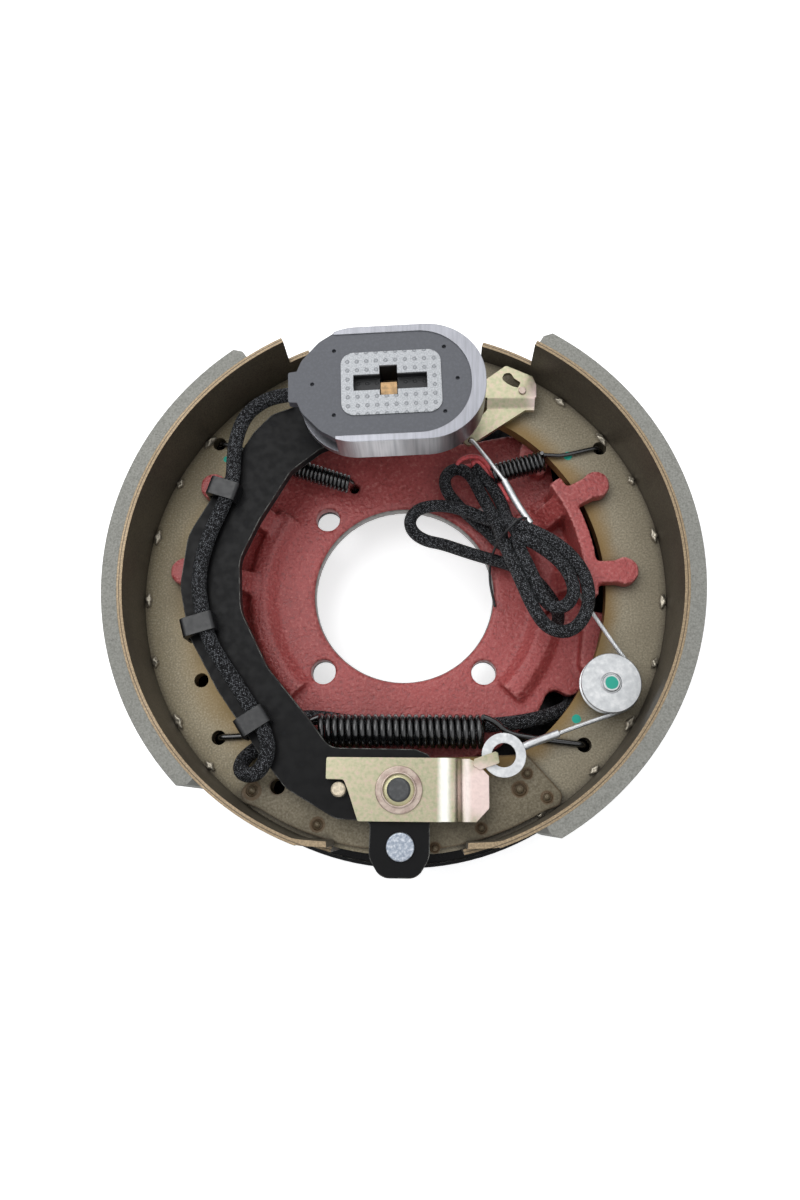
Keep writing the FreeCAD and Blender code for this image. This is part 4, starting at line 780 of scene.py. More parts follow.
class Finish(Enum):
    """Every finish on the brake."""

    CASTING = CastEnamel()
    SHIELD = Enamel("shield_black_enamel", "#0d0d0f", 0.25)
    ARM = Enamel("arm_black_enamel", "#050506", 0.45, 0.9)
    LINING = FrictionLining()
    WEB = ShoeCoat("web_wash_coat", spots=DABS)
    STAINED_WEB = ShoeCoat("stained_web_wash_coat", coat="#8d8268", stain="#846a34", stain_to=133.0,
                           spots=DABS)
    DOUBLER = ShoeCoat("doubler_wash_coat", coat="#776e59", shade="#5f5746", pale="#8c8370", stain_to=116.0,
                       rust=True, burns=BURNS)
    # The table's inner face takes a darker copy of the wash coat: painted shade.
    TABLE = ShoeCoat("table_shaded_wash_coat", coat="#4d473d", shade="#38322a", pale="#5d5648", edge="#8d7a60",
                     stain_from=1, stain_to=0)
    WELD = Moulded("weld_nugget_steel", "#a29b8c", 0.36, 0.6, 0.0, 1.0, 0.35)
    SILVER = Zinc("clear_zinc", CLEAR, 0.4, 2.0, spots=((109.5, -56, 43.5, 3.4),))
    SPANGLED = Zinc("spangled_zinc", SPANGLE, 0.38, 0.75, 0.4)
    LEVER = Zinc("yellow_zinc_lever", YELLOW, 0.34, 1.0, 0.4, blush=((84, 108, 40, 8),))
    # The link's two bends carry painted highlight bands.
    LINK = Zinc("yellow_zinc_link", YELLOW, 0.34, 0.9, 0.4, blush=((43, -112, 50, 10),),
                bend_highlights=((18.5, 27.0, "#fdfcf4"), (31.0, 37.5, "#eee2db")))
    PINK = Zinc("pink_zinc", ROSE, 0.36, 3.0)
    CUP = GroundSteel()
    POLE = PoleSteel()
    RESIN = PottingResin(holes=tuple((x, y, 79.4, 0.8) for x, y in VENTS))
    SPRING = Moulded("oiled_spring_wire", "#0a0b0c", 0.24, 0.0, 0.6, 1.5, 0.15)
    BRAID = Braid()
    RED_WIRE = Moulded("red_wire_insulation", "#d25558", 0.38)
    NYLON = Moulded("black_nylon_tie", "#1b1c1e", 0.5)
    CLIP = Moulded("dark_clip_strip", "#0a0b0d", 0.4)
    RUBBER = Moulded("black_rubber", "#151516", 0.75)
    COPPER = Moulded("copper_flashed_pin", "#cabda6", 0.42, 0.4, 0.0, 0.8)
    POST = Moulded("tan_primed_post", "#c19c6e", 0.62)
    ANCHOR = AnchorEnd()
    WINDING = Moulded("enamelled_copper_winding", "#3f2818", 0.4, 0.5)


WORN_BY: dict[Finish, tuple[str, ...]] = {
    Finish.SHIELD: ("dust_shield", "shield_ring"),
    Finish.ARM: ("arm_plate", "arm_block"),
    Finish.LINING: ("secondary_lining", "primary_lining"),
    Finish.WEB: ("secondary_web",),
    Finish.STAINED_WEB: ("primary_web",),
    Finish.DOUBLER: ("secondary_doubler", "primary_doubler"),
    Finish.TABLE: ("secondary_table", "primary_table"),
    Finish.SPANGLED: ("block_rivet", "shield_screws"),
    Finish.SILVER: ("guide_pulley", "pulley_pin", "cable_eyelet", "cable_ferrule", "star_wheel",
                    "adjuster_sleeve", "adjuster_socket", "anchor_sleeve", "arm_bushing"),
    Finish.LEVER: ("adjuster_lever",),
    Finish.LINK: ("link_plate",),
    Finish.PINK: ("anchor_washer", "lever_stud"),
    Finish.CUP: ("magnet_cup",),
    Finish.CLIP: ("lead_clip_1", "lead_clip_2", "lead_clip_3"),
    Finish.RUBBER: ("slot_plug",),
    Finish.CASTING: ("wire_grommet",),
    Finish.COPPER: ("stop_pin",),
    Finish.POST: ("magnet_post",),
    Finish.ANCHOR: ("anchor_bolt",),
    Finish.WINDING: ("magnet_coil",),
}


class Wardrobe:
    """The finishes as materials, each built once."""

    def __init__(self) -> None:
        """Build every material."""
        self.made = {finish: finish.value.material() for finish in Finish}

    def dress(self, piece: Piece, finish: Finish) -> Piece:
        """Give a piece one finish.

        Args:
            piece: Piece that wears it.
            finish: The finish.

        Returns:
            The same piece.
        """
        piece.data.materials.clear()
        piece.data.materials.append(self.made[finish])
        return piece

    def dress_frame(self) -> None:
        """Hand the finishes to the parts of the frame."""
        for finish, nodes in WORN_BY.items():
            for node in nodes:
                self.dress(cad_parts[node], finish)


# Modelling helpers

select_whole = partial(bpy.ops.mesh.select_all, action="SELECT")
face_outwards = partial(bpy.ops.mesh.normals_make_consistent, inside=False)


def only(piece: Piece | None = None) -> None:
    """Select one piece alone, or nothing.

    Args:
        piece: The piece, which also becomes the active one.
    """
    bpy.ops.object.select_all(action="DESELECT")
    if piece is not None:
        piece.select_set(True)
        bpy.context.view_layer.objects.active = piece


def settle(piece: Piece, name: str) -> Piece:
    """Name a piece and bake its place into its mesh.

    Args:
        piece: The piece.
        name: Its new name.

    Returns:
        The same piece, at the origin.
    """
    piece.data.transform(piece.matrix_world)
    piece.matrix_world = Matrix.Identity(4)
    piece.name = name
    piece.data.name = name
    return piece


def linked(name: str, data: bpy.types.ID) -> Piece:
    """Put new data into the scene.

    Args:
        name: Name of the object.
        data: Its mesh, curve, lamp or camera.

    Returns:
        The object.
    """
    made = bpy.data.objects.new(name, data)
    bpy.context.scene.collection.objects.link(made)
    return made


def copied(source: Piece, name: str) -> Piece:
    """Copy of a piece with its own mesh."""
    return linked(name, source.data.copy())


def edit(piece: Piece, *steps: Callable[[], object]) -> None:
    """Run steps in edit mode, with the whole mesh selected at first.

    Args:
        piece: The piece.
        *steps: Operators, in order.
    """
    only(piece)
    bpy.ops.object.mode_set(mode="EDIT")
    select_whole()
    for step in steps:
        step()
    bpy.ops.object.mode_set(mode="OBJECT")


def modify(piece: Piece, kind: str, **settings: object) -> None:
    """Add a modifier with its settings and apply it.

    Args:
        piece: The piece.
        kind: Type of the modifier.
        **settings: Its settings.
    """
    only(piece)
    made = piece.modifiers.new(kind.lower(), kind)
    for key, value in settings.items():
        setattr(made, key, value)
    bpy.ops.object.modifier_apply(modifier=made.name)


def join(pieces: Sequence[Piece], name: str) -> Piece:
    """Join meshes into one piece.

    Args:
        pieces: The meshes.
        name: Name of the joined piece.

    Returns:
        The joined piece.
    """
    only()
    for piece in pieces:
        piece.select_set(True)
    bpy.context.view_layer.objects.active = pieces[0]
    if len(pieces) > 1:
        bpy.ops.object.join()
    return settle(bpy.context.view_layer.objects.active, name)


def smooth(piece: Piece, angle: float) -> Piece:
    """Shade a piece smooth where its faces meet below an angle.

    Args:
        piece: The piece.
        angle: The angle in degrees.

    Returns:
        The same piece.
    """
    only(piece)
    bpy.ops.object.shade_smooth_by_angle(angle=math.radians(angle))
    return piece


def stand_in(piece: Piece, body: str, slot: str, *nodes: str) -> None:
    """Args:
        piece: The piece.
        body: Body that carries it.
        slot: Material slot; not used.
        *nodes: Solids that it replaces.
    """
    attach(piece, body)
    if nodes:
        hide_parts(*nodes)


def route_line(points: Sequence[Point], name: str, resolution: int = 12) -> list[Vector]:
    """Smooth line of a cord's route.

    Args:
        points: Control points in millimetres.
        name: Name of the curve.
        resolution: Steps for each control point.

    Returns:
        The points along the NURBS line, in metres.
    """
    curve = bpy.data.curves.new(name, "CURVE")
    curve.dimensions = "3D"
    curve.resolution_u = resolution
    spline = curve.splines.new("NURBS")
    spline.points.add(len(points) - 1)
    for knot, point in zip(spline.points, points):
        knot.co = (*mm(*point), 1.0)
    spline.order_u = 3
    spline.use_endpoint_u = True
    holder = linked(name, curve)
    bpy.context.view_layer.update()
    mesh = bpy.data.meshes.new_from_object(holder)
    line = [vertex.co.copy() for vertex in mesh.vertices]
    bpy.data.meshes.remove(mesh)
    bpy.data.objects.remove(holder)
    return line


def tangent_at(line: Sequence[Vector], index: int) -> Vector:
    """Direction of a line at one of its points."""
    return (line[min(index + 1, len(line) - 1)] - line[max(index - 1, 0)]).normalized()


def sweep(line: Sequence[Vector], radius_mm: float, name: str, sides: int) -> Piece:
    """Round tube along a line, closed at both ends, with a surface map in metres.

    Args:
        line: Points in metres.
        radius_mm: Tube radius.
        name: Name of the piece.
        sides: Faces round the tube.

    Returns:
        The tube.
    """
    mesh = bpy.data.meshes.new(name)
    build = bmesh.new()
    layer = build.loops.layers.uv.new("surface")
    radius = radius_mm / 1000
    side = tangent_at(line, 0).orthogonal().normalized()
    rings = []
    reach = [0.0]
    for i, spot in enumerate(line):
        tangent = tangent_at(line, i)
        side = (side - side.dot(tangent) * tangent).normalized()
        other = tangent.cross(side)
        if i:
            reach.append(reach[-1] + (spot - line[i - 1]).length)
        turns = [2 * math.pi * k / sides for k in range(sides)]
        rings.append([build.verts.new(spot + (side * math.cos(turn) + other * math.sin(turn)) * radius)
                      for turn in turns])
    for i in range(len(line) - 1):
        for k in range(sides):
            ahead = (k + 1) % sides
            face = build.faces.new((rings[i][k], rings[i][ahead], rings[i + 1][ahead], rings[i + 1][k]))
            face.smooth = True
            for loop, (u, v) in zip(face.loops, ((i, k), (i, k + 1), (i + 1, k + 1), (i + 1, k))):
                loop[layer].uv = (reach[u], v * 2 * math.pi * radius / sides)
    build.faces.new(list(reversed(rings[0])))
    build.faces.new(rings[-1])
    build.normal_update()
    build.to_mesh(mesh)
    build.free()
    return linked(name, mesh)


def cord_tube(points: Sequence[Point], radius_mm: float, name: str, sides: int) -> Piece:
    """Tube along the smooth line of a route."""
    return sweep(route_line(points, name + "_line"), radius_mm, name, sides)


def lathe(profile: Sequence[Place], name: str, steps: int) -> Piece:
    """Spin a profile round the Z axis.

    Args:
        profile: Radius and height of each point, in millimetres.
        name: Name of the piece.
        steps: Steps of the full turn.

    Returns:
        The turned piece.
    """
    piece = linked(name, bpy.data.meshes.new(name))
    build = bmesh.new()
    verts = [build.verts.new(mm(radius, 0, height)) for radius, height in profile]
    for first, second in zip(verts, verts[1:]):
        build.edges.new((first, second))
    build.to_mesh(piece.data)
    build.free()
    spin = partial(bpy.ops.mesh.spin, steps=steps, angle=2 * math.pi, center=(0, 0, 0), axis=(0, 0, 1))
    merge = partial(bpy.ops.mesh.remove_doubles, threshold=0.00001)
    edit(piece, spin, select_whole, merge, face_outwards)
    return smooth(piece, 35)


# Sub-assemblies


@dataclass(frozen=True)
class Studio:
    """Camera, lamps, world and floor."""

    lens: float = 26.72
    place: Point = (19.99, -124.84, 506.97)
    right: Point = (0.99905459, 0.01031239, -0.0422325)
    up: Point = (0.0, 0.97145791, 0.23721198)
    back: Point = (0.04347332, -0.23698772, 0.97053948)
    light: float = 0.52
    sky: str = "#f4f5f7"
    aim: Point = (0, 0, 20)
    # Name, place in millimetres, power in watts and side in metres of each lamp.
    lamps: tuple[tuple[str, Point, float, float], ...] = (
        ("key", (-420, 260, 900), 4.4, 0.7),
        ("fill", (560, -300, 820), 1.5, 0.9),
        ("top", (60, 620, 620), 1.4, 0.6),
    )

    def camera(self) -> None:
        """Set up the camera at the photograph's viewing angle."""
        data = bpy.data.cameras.new("camera")
        data.lens = self.lens
        data.sensor_width = 36
        data.clip_start = 0.01
        holder = linked("camera", data)
        turn = Matrix((self.right, self.up, self.back)).transposed().to_4x4()
        holder.matrix_world = Matrix.Translation(mm(*self.place)) @ turn
        bpy.context.scene.camera = holder

    def lamp(self, name: str, place: Point, power: float, size: float) -> None:
        """Hang one soft square lamp aimed at the brake.

        Args:
            name: Name of the lamp.
            place: Its place in millimetres.
            power: Power in watts.
            size: Side of the lamp in metres.
        """
        data = bpy.data.lights.new(name, "AREA")
        data.energy = power
        data.size = size
        holder = linked(name, data)
        holder.location = mm(*place)
        holder.rotation_euler = (mm(*self.aim) - holder.location).to_track_quat("-Z", "Y").to_euler()

    def world(self) -> None:
        """Light the scene evenly, with a sky that is white to the camera and in reflections."""
        world = bpy.data.worlds.new("studio")
        world.use_nodes = True
        tree = world.node_tree
        back = tree.nodes["Background"]
        back.inputs[0].default_value = linear(self.sky)
        seen: Value = 0.0
        for kind in ("Is Camera Ray", "Is Glossy Ray", "Is Transmission Ray"):
            seen = add(tree, "Math", (add(tree, "LightPath", output=kind), seen), operation="MAXIMUM")
        strength = add(tree, "Math", (seen, 1.0 - self.light, self.light), operation="MULTIPLY_ADD")
        tree.links.new(strength, back.inputs[1])
        bpy.context.scene.world = world

    def build(self) -> None:
        """Set up lamps, world and floor."""
        bpy.context.scene.view_settings.view_transform = "Standard"
        self.world()
        for lamp in self.lamps:
            self.lamp(*lamp)
        only()
        bpy.ops.mesh.primitive_plane_add(size=8, location=(0, 0, CAD_BOX[0].z - 0.0006))
        floor = settle(bpy.context.active_object, "floor")
        floor.data.materials.append(StudioFloor().material())
        floor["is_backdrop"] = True


@dataclass(frozen=True)
class Pigtail:
    """Braided pigtail, folded and tied over the casting, with its bare wire ends."""

    radius: float = 3.5
    wire: float = 1.35
    tie: float = 0.75
    exit: Point = (87, -17, 12.8)

    def route(self) -> list[Point]:
        """Control points from the grommet through each fold to the end of the sleeve.

        Returns:
            The points in millimetres.
        """
        rise = [self.exit, (87, -15, 22), (81, -6, 29), (72, 6, 27), (62, 13, 23), (52, 17, 20.5)]
        left = [(43, 20, 19), (34, 23, 19), (22, 27, 20), (13, 28.5, 20.5), (6, 32.5, 21.5), (3, 38.5, 22),
                (5, 44.5, 22), (11, 48.5, 22.5), (23, 49.5, 22.5), (36, 46, 22.5), (46, 41, 23),
                (54, 36, 30.5)]
        outer = [(59.5, 32.6, 41.3), (70, 26, 47.6), (81, 20.5, 47), (90, 13, 47), (97, 3, 47),
                 (99.5, -8, 47),
                 (98, -19, 47), (92.5, -27, 46), (85, -30, 45.5), (76, -26.5, 45.5), (69.5, -15.5, 45.5),
                 (64.5, -3, 45), (60, 9, 43.5), (56, 20, 39), (54, 29, 34.5)]
        upper = [(51, 40, 30), (46, 51, 25), (42, 61, 22.5), (38.5, 68, 21.5), (33, 72.5, 20.5),
                 (27, 72, 20),
                 (23, 66.5, 20), (24.5, 59, 19), (31, 51.5, 16.5), (40, 43, 15), (48, 36, 15.5),
                 (54, 28, 18),
                 (59, 24, 25), (60.5, 23, 33)]
        inner = [(63.5, 23.8, 42.5), (70, 20, 47.2), (80, 13, 47), (87, 6, 47), (91, -2.5, 47),
                 (91.5, -9, 46.8),
                 (88.5, -14.5, 46.4), (83, -17, 46), (77.5, -14.5, 46), (74, -9, 46), (71.5, -2, 46),
                 (67, 9, 45),
                 (63.5, 18, 42.5), (63, 27, 42.5)]
        last = [(58.2, 35.2, 35), (56.6, 45.5, 27.5), (53, 56, 24), (47, 66, 22.5), (41, 73, 22)]
        return rise + left + outer + upper + inner + last

    def wires(self) -> Piece:
        """Two red wires that leave the sleeve's end and lie over the folds.

        Returns:
            Both as one piece.
        """
        far = [(42, 71.5, 21.5), (38.5, 75, 20.5), (33.5, 73, 21), (30.3, 74, 22.5), (32.5, 77, 23.6),
               (39, 79.2, 24.4), (45.5, 77, 24.6), (50.2, 70, 24.4), (55, 61, 24), (60, 51, 23)]
        near = [(42, 71.5, 23), (38.8, 74.2, 23.6), (42, 76.2, 24.2), (46.5, 71.5, 24.2), (50.5, 63.5, 24),
                (54, 57, 23.4), (57.5, 50.5, 22.4)]
        return join([cord_tube(points, self.wire, "wire", 12) for points in (far, near)], "pigtail_wires")

    def ties(self) -> Piece:
        """Nylon tie: once round the folds, with its two loose ends.

        Returns:
            The tie as one piece.
        """
        around = [(70, 36, 34), (68.5, 35.2, 41), (65, 33.5, 46), (61.5, 31, 48.2), (58.5, 28, 47.6),
                  (55.5, 25.5, 43), (53, 23.5, 36), (51.5, 22, 28)]
        bow = [(62, 31.5, 49), (58.8, 28.2, 48.6), (54.8, 24.6, 44), (51.4, 21.5, 34), (49.6, 18, 20),
               (49.0, 12, 13.6), (49.4, 5, 12.7), (50.5, -1, 12.3), (52, -8, 12.1)]
        tail = [(56.5, 26.8, 46), (57.5, 23.5, 36), (58.8, 21, 22), (57, 18.6, 13.6), (52, 19.2, 12.7),
                (46.5, 21.2, 13.3), (43.8, 22.4, 13.9)]
        parts = [cord_tube(points, self.tie, "tie_part", 8) for points in (around, bow, tail)]
        return join(parts, "pigtail_tie")

    def build(self, wardrobe: Wardrobe) -> None:
        """Build the cord, the wires and the tie.

        Args:
            wardrobe: The materials.
        """
        line = route_line(self.route(), "pigtail_cord_line")
        cord = wardrobe.dress(sweep(line, self.radius, "pigtail_cord", 18), Finish.BRAID)
        wires = wardrobe.dress(self.wires(), Finish.RED_WIRE)
        tie = wardrobe.dress(self.ties(), Finish.NYLON)
        stand_in(cord, "backing", "braid", "pigtail", "pigtail_hank")
        stand_in(wires, "backing", "red_wire", "red_wires")
        stand_in(tie, "backing", "black_plastic", "cord_tie")


@dataclass(frozen=True)
class Lead:
    """Braided magnet lead, clipped along the arm and run behind the spring into the recess."""

    radius: float = 4.0

    def build(self, wardrobe: Wardrobe) -> None:
        """Build the lead as one piece.

        Args:
            wardrobe: The materials.
        """
        arm = [(-62, 103.5, 54.5), (-70, 103.5, 53), (-79, 101, 51.5), (-88, 93, 51.5), (-92.5, 80, 51.5),
               (-93.3, 67, 51.5), (-92.9, 54, 51.5), (-97.1, 40.6, 51.5), (-103.5, 25, 51.5),
               (-107.6, 9, 51.5),
               (-108.4, -4, 51.5), (-106.2, -18, 51.5), (-101, -35.2, 51.5), (-93, -47.5, 51.5),
               (-85, -58.5, 51.5),
               (-78, -69, 51.5), (-68.2, -84, 51.5), (-66.5, -95, 51.5), (-72.5, -105, 49.5),
               (-82, -104, 44.5),
               (-83.5, -96.5, 36.8), (-73, -88.5, 36.8)]
        casting = [(-61, -76.5, 33), (-55, -73, 27), (-44, -72, 18), (-28, -74.5, 15), (0, -74.9, 15.5),
                   (28, -75.8, 15), (54, -75.2, 15.4), (76, -71.5, 14.8), (90.5, -65.5, 10),
                   (94.5, -61, -4),
                   (97, -50, -12), (97.5, -38, -13.5), (96, -28, -13), (87, -17, -9.5), (87, -17, 1)]
        piece = wardrobe.dress(cord_tube(arm + casting, self.radius, "magnet_lead", 16), Finish.BRAID)
        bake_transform(piece)
        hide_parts("arm_lead", "casting_lead")


@dataclass(frozen=True)
class Cable:
    """Adjuster cable: six twisted steel strands, from the hook eye round the pulley to its ferrule."""

    radius: float = 1.2
    pitch: float = 9.0
    strands: int = 6
    eye_run: tuple[Point, ...] = (
        (82, -81.8, 40), (98, -75.9, 40), (112.5, -71.2, 40), (121.5, -67, 40), (124.6, -58.5, 40))
    lever_run: tuple[Point, ...] = (
        (124.6, -57.5, 40), (123.6, -50, 40), (117, -42, 40), (101.5, -17.5, 40), (85.9, 7.4, 40),
        (70.3, 32.4, 40))

    def lay(self, points: Sequence[Point], name: str) -> Piece:
        """Twist the strands round the smooth line of a run.

        Args:
            points: Control points of the run.
            name: Name of the piece.

        Returns:
            The run as one piece.
        """
        line = route_line(points, name + "_line", 16)
        strand = self.radius / 3
        pieces = [sweep(line, strand * 1.05, name + "_core", 8)]
        up = Vector((0, 0, 1))
        for index in range(self.strands):
            spots = []
            reach = 0.0
            for i, spot in enumerate(line):
                reach += (spot - line[i - 1]).length if i else 0.0
                turn = 2 * math.pi * (index / self.strands + 1000 * reach / self.pitch)
                away = up * math.cos(turn) + tangent_at(line, i).cross(up) * math.sin(turn)
                spots.append(spot + away * 2 * strand / 1000)
            pieces.append(sweep(spots, strand, name + "_strand", 8))
        return join(pieces, name)

    def build(self, wardrobe: Wardrobe) -> None:
        """Build both runs, each from its anchor to the part that it pulls.

        Args:
            wardrobe: The materials.
        """
        eye = self.lay(self.eye_run, "cable_to_eye")
        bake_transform(eye)
        lever = self.lay(self.lever_run, "cable_to_lever")
        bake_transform(lever)
        for piece in (eye, lever):
            wardrobe.dress(piece, Finish.SILVER)
            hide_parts("adjuster_cable")


@dataclass(frozen=True)
class Wound:
    """One hooked spring: the solid it stands for, its coil and the route of each hook, in millimetres."""

    node: str
    first: Point
    last: Point
    radius: float
    turns: float
    wire: float
    hooks: tuple[tuple[Point, ...], tuple[Point, ...]]

    def coil(self) -> Piece:
        """Wind the coil between its two ends.

        Returns:
            The coil as a mesh.
        """
        start = mm(*self.first)
        axis = mm(*self.last) - start
        steps = int(24 * self.turns)
        only()
        bpy.ops.mesh.primitive_circle_add(vertices=10, radius=self.wire / 2000, rotation=(math.pi / 2, 0, 0),
                                          location=((self.radius - self.wire / 2) / 1000, 0, 0))
        piece = settle(bpy.context.active_object, self.node + "_coil")
        modify(piece, "SCREW", axis="Z", angle=2 * math.pi * self.turns, screw_offset=axis.length,
               steps=steps, render_steps=steps, use_normal_calculate=True)
        edit(piece, bpy.ops.mesh.edge_face_add, face_outwards)
        piece.data.transform(Matrix.Translation(start) @ axis.to_track_quat("Z", "Y").to_matrix().to_4x4())
        return smooth(piece, 60)

    def build(self, wardrobe: Wardrobe) -> None:
        """Build the coil and its hooks as one piece.

        Args:
            wardrobe: The materials.
        """
        pieces = [self.coil()]
        pieces += [cord_tube(points, self.wire / 2, self.node + "_hook", 10) for points in self.hooks]
        piece = join(pieces, self.node + "_wound")
        stand_in(wardrobe.dress(piece, Finish.SPRING), "backing", "spring_black", self.node)


@dataclass(frozen=True)
class Springs:
    """The three hooked springs, and the conical one that lifts the magnet off the arm."""

    hooked: tuple[Wound, ...] = (
        Wound("return_spring", (-43, -80.3, 29.8), (44, -80.3, 29.8), 9.3, 24, 3.3, (
            ((-43, -72.7, 29.8), (-49, -74.3, 29.8), (-55, -81.3, 29.8), (-72, -82.6, 30.7), (-91, -84, 30.7),
             (-98.1, -84.3, 30.7), (-98.1, -84.3, 24)),
            ((44, -72.7, 29.8), (50, -74.3, 29.8), (56, -81.3, 29.8), (72, -84, 30.7), (90, -86.2, 30.7),
             (96.6, -86.8, 30.7), (96.6, -86.8, 24)))),
        Wound("retractor_spring_right", (51.5, 66.8, 26.1), (79.6, 72.6, 31.5), 6.0, 12, 2.3, (
            ((51.5, 70.5, 26.1), (48.8, 69.5, 23.6), (47.3, 70.5, 20), (47, 71, 14), (47, 71, 6)),
            ((79.6, 76.2, 31.5), (84, 76, 31.5), (90, 75.6, 31.3), (105, 79.5, 31), (111.7, 81.0, 30.6),
             (111.7, 81.0, 24)))),
        Wound("retractor_spring_left", (-62.5, 70.3, 29), (-32, 61.3, 25.5), 5.5, 13.5, 2.3, (
            ((-32, 64.6, 25.5), (-29.6, 63.6, 22), (-29.8, 64.2, 18), (-30, 64.5, 13), (-30, 64.5, 5)),
            ((-62.5, 73.6, 29), (-66, 73.6, 30.5), (-74, 74.6, 31), (-100, 83.5, 31), (-107.5, 85.4, 30.6),
             (-107.5, 85.4, 24)))))
    middle: Place = (-6.3, 94.8)
    low: float = 50.8
    high: float = 57.9
    wide: float = 14.6
    taper: float = 3.4
    turns: float = 4.0
    closed: float = 0.12

    def cone(self, wardrobe: Wardrobe) -> None:
        """Wind the conical spring, with a closed turn at each end.

        Args:
            wardrobe: The materials.
        """
        name = "magnet_cone_spring"
        x, y = self.middle
        count = int(self.turns * 30)
        line = []
        for i in range(count + 1):
            share = i / count
            climb = min(max((share - self.closed) / (1 - 2 * self.closed), 0.0), 1.0)
            turn = 2 * math.pi * self.turns * share
            radius = self.wide - self.taper * share
            height = self.low + (self.high - self.low) * climb
            line.append(mm(x + radius * math.cos(turn), y + radius * math.sin(turn), height))
        piece = wardrobe.dress(settle(sweep(line, 1.0, name, 10), name), Finish.SPRING)
        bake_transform(piece)
        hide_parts("magnet_spring")

    def build(self, wardrobe: Wardrobe) -> None:
        """Build the four springs.

        Args:
            wardrobe: The materials.
        """
        self.cone(wardrobe)
        for spring in self.hooked:
            spring.build(wardrobe)


@dataclass(frozen=True)
class Magnet:
    """Front of the magnet: the slotted pole plate and the vented potting."""

    middle: Place = (-5.0, 97.5)
    tilt: float = 2.5
    face: float = 80.0
    slot: Spot = (-19.9, 19.0, -4.1, 5.0)
    cut_depth: float = 10.0
    vent: float = 1.1

    def loose_copy(self, node: str, name: str) -> Piece:
        """Merged copy of a solid of the frame.

        Args:
            node: The solid.
            name: Name of the copy.

        Returns:
            The copy, with its custom normals cleared.
        """
        made = copied(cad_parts[node], name)
        edit(made, partial(bpy.ops.mesh.remove_doubles, threshold=0.000005), face_outwards)
        if made.data.has_custom_normals:
            bpy.ops.mesh.customdata_custom_splitnormals_clear()
        return made

    def cut(self, piece: Piece, tool: Piece) -> None:
        """Cut a tool's shape out of a piece and drop the tool."""
        modify(piece, "BOOLEAN", operation="DIFFERENCE", solver="EXACT", object=tool)
        bpy.data.objects.remove(tool)

    def slot_tool(self) -> Piece:
        """Box that cuts the tall slot in the pole plate.

        Returns:
            The box.
        """
        left, right, low, high = self.slot
        only()
        bpy.ops.mesh.primitive_cube_add(size=0.001, location=(0, 0, 0))
        box = bpy.context.active_object
        size = Matrix.Diagonal((right - left, high - low, self.cut_depth, 1))
        place = Matrix.Translation(mm((left + right) / 2, (low + high) / 2, 0))
        turn = Matrix.Rotation(math.radians(self.tilt), 4, "Z")
        box.data.transform(Matrix.Translation(mm(*self.middle, self.face)) @ turn @ place @ size)
        return box

    def build(self, wardrobe: Wardrobe) -> None:
        """Cut the slot in the pole plate and the vents in the potting.

        Args:
            wardrobe: The materials.
        """
        plate = self.loose_copy("magnet_core", "pole_plate")
        self.cut(plate, self.slot_tool())
        potting = self.loose_copy("magnet_face", "potting")
        for x, y in VENTS:
            only()
            bpy.ops.mesh.primitive_cylinder_add(vertices=20, radius=self.vent / 1000,
                                                depth=self.cut_depth / 2000, location=mm(x, y, self.face))
            self.cut(potting, settle(bpy.context.active_object, "vent"))
        smooth(wardrobe.dress(plate, Finish.POLE), 20)
        smooth(wardrobe.dress(potting, Finish.RESIN), 20)
        stand_in(plate, "magnet", "magnet_steel", "magnet_core")
        stand_in(potting, "magnet", "potting", "magnet_face")


@dataclass(frozen=True)
class Casting:
    """Cast spider with its brackets and fingers as one body with soft sand-cast edges."""

    grid_mm: float = 1.15
    nodes: tuple[str, ...] = ("casting_spider", "finger_bracket_right", "finger_bracket_left",
                              "web_finger_1", "web_finger_2", "web_finger_3", "web_finger_4")

    def build(self, wardrobe: Wardrobe) -> None:
        """Grow the body's separate solids together and round every edge.

        Args:
            wardrobe: The materials.
        """
        piece = join([copied(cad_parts[node], node + "_copy") for node in self.nodes], "casting_body")
        edit(piece, partial(bpy.ops.mesh.remove_doubles, threshold=0.00001))
        modify(piece, "REMESH", mode="VOXEL", voxel_size=self.grid_mm / 1000, use_smooth_shade=True)
        modify(piece, "SMOOTH", factor=0.5, iterations=5)
        stand_in(wardrobe.dress(piece, Finish.CASTING), "backing", "casting_paint", *self.nodes)


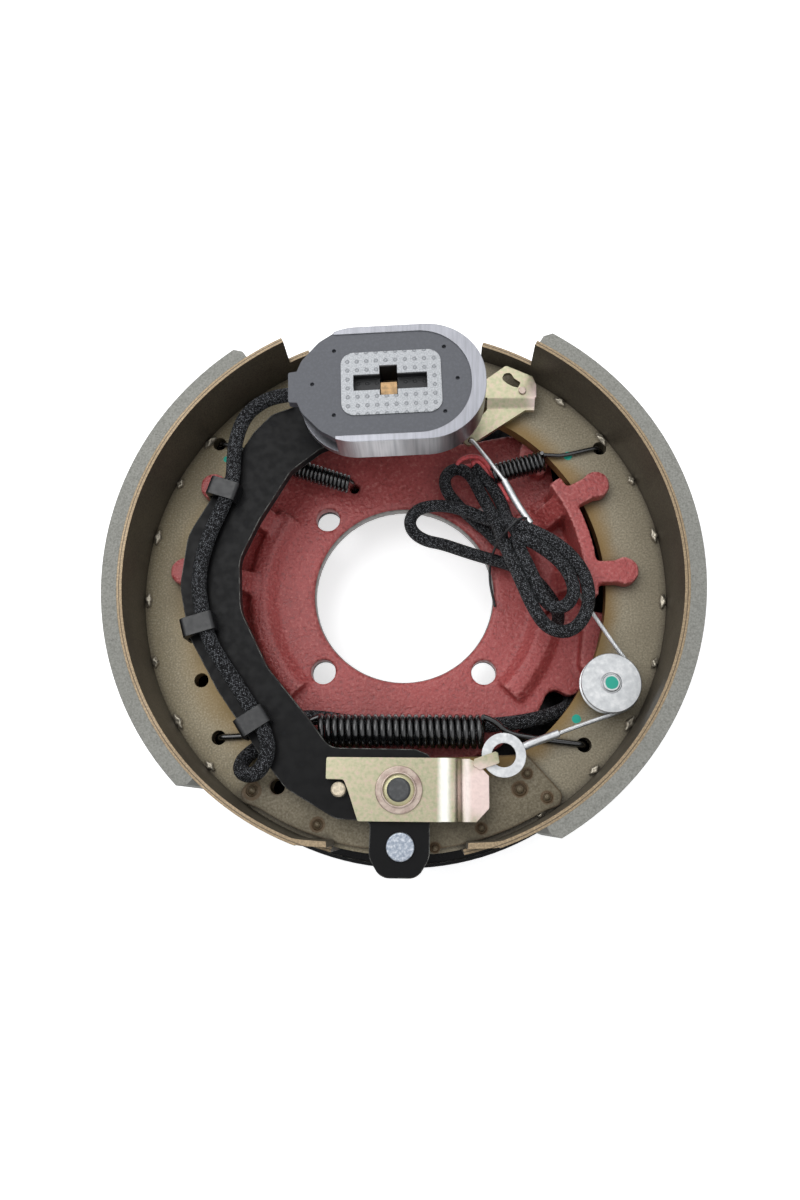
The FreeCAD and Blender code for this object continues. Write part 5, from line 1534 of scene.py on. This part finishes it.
@dataclass(frozen=True)
class ShoeDetails:
    """Weld nuggets along one shoe's table and pressed dimples in its doubler plate."""

    shoe: str
    welds: tuple[Place, ...]
    dimples: tuple[Point, ...]
    web_front: float = 29.0
    doubler_front: float = 32.5
    weld_ring: float = 142.2
    nugget_mm: float = 2.4
    # Radius and height of a raised button in a shallow ring.
    button: tuple[Place, ...] = ((0.0, 1.0), (1.1, 0.95), (1.65, 0.6), (1.9, 0.1), (2.25, 0.08), (2.5, 0.32),
                                 (2.85, 0.22), (3.2, 0.02), (3.2, -0.3), (0.0, -0.3))

    def nugget(self, index: int, x: float, y: float) -> Piece:
        """One uneven nugget where the web meets the table.

        Args:
            index: Number of the nugget, which makes it differ from its neighbours.
            x: Direction of its place from the wheel's axis, along X.
            y: The same along Y.

        Returns:
            The nugget.
        """
        out = Vector((x, y)).normalized()
        only()
        bpy.ops.mesh.primitive_ico_sphere_add(subdivisions=3, radius=self.nugget_mm / 1000,
                                              location=(0, 0, 0))
        nugget = bpy.context.active_object
        long = 1.5 + 0.4 * math.sin(index * 2.3)
        for vertex in nugget.data.vertices:
            spot = vertex.co
            push = 1 + 0.24 * math.sin(7 * index + 1500 * spot.x) * math.cos(1900 * spot.y + index)
            vertex.co = Vector((spot.x * 0.75, spot.y * long, spot.z * 0.8)) * push
        place = mm(out.x * self.weld_ring, out.y * self.weld_ring, self.web_front + 0.5)
        nugget.data.transform(Matrix.Translation(place) @ Matrix.Rotation(math.atan2(out.y, out.x), 4, "Z"))
        return nugget

    def build(self, wardrobe: Wardrobe) -> None:
        """Build the shoe's nuggets and its dimples.

        Args:
            wardrobe: The materials.
        """
        nuggets = [self.nugget(index, x, y) for index, (x, y) in enumerate(self.welds)]
        welds = smooth(wardrobe.dress(join(nuggets, self.shoe + "_welds"), Finish.WELD), 60)
        stand_in(welds, self.shoe + "_shoe", "shoe_steel")
        button = lathe(self.button, "button", 28)
        presses = []
        for x, y, size in self.dimples:
            press = copied(button, "press")
            press.data.transform(Matrix.Translation(mm(x, y, self.doubler_front)) @ Matrix.Scale(size, 4))
            presses.append(press)
        bpy.data.objects.remove(button)
        dimples = wardrobe.dress(join(presses, self.shoe + "_dimples"), Finish.DOUBLER)
        stand_in(dimples, self.shoe + "_shoe", "shoe_steel")


SECONDARY = ShoeDetails(
    "secondary",
    ((91, 111), (115, 88), (131, 62), (142, 29), (145, -9), (138, -44), (123, -77), (103, -101), (74, -124)),
    ((66, -102, 0.85), (62, -110, 1.15), (76, -114, 0.9), (42, -130, 0.85), (18, -140, 0.85)))
PRIMARY = ShoeDetails(
    "primary",
    ((-91, 111), (-115, 88), (-131, 62), (-142, 29), (-145, -9), (-138, -44), (-123, -77), (-103, -101)),
    ((-78, -112, 1.05), (-43, -129, 0.95)))


def main() -> None:
    """Build the camera, the cords, the springs, the casting, the small details and the studio."""
    logging.basicConfig(level=logging.INFO, format="%(message)s")
    studio = Studio()
    studio.camera()
    wardrobe = Wardrobe()
    for part in (Pigtail(), Lead(), Cable(), Springs(), Casting(), Magnet(), SECONDARY, PRIMARY):
        part.build(wardrobe)
    wardrobe.dress_frame()
    studio.build()
    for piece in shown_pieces():
        LOG.info("%s: %d faces", piece.name, len(piece.data.polygons) if piece.type == "MESH" else 0)


if __name__ == "__main__":
    main()
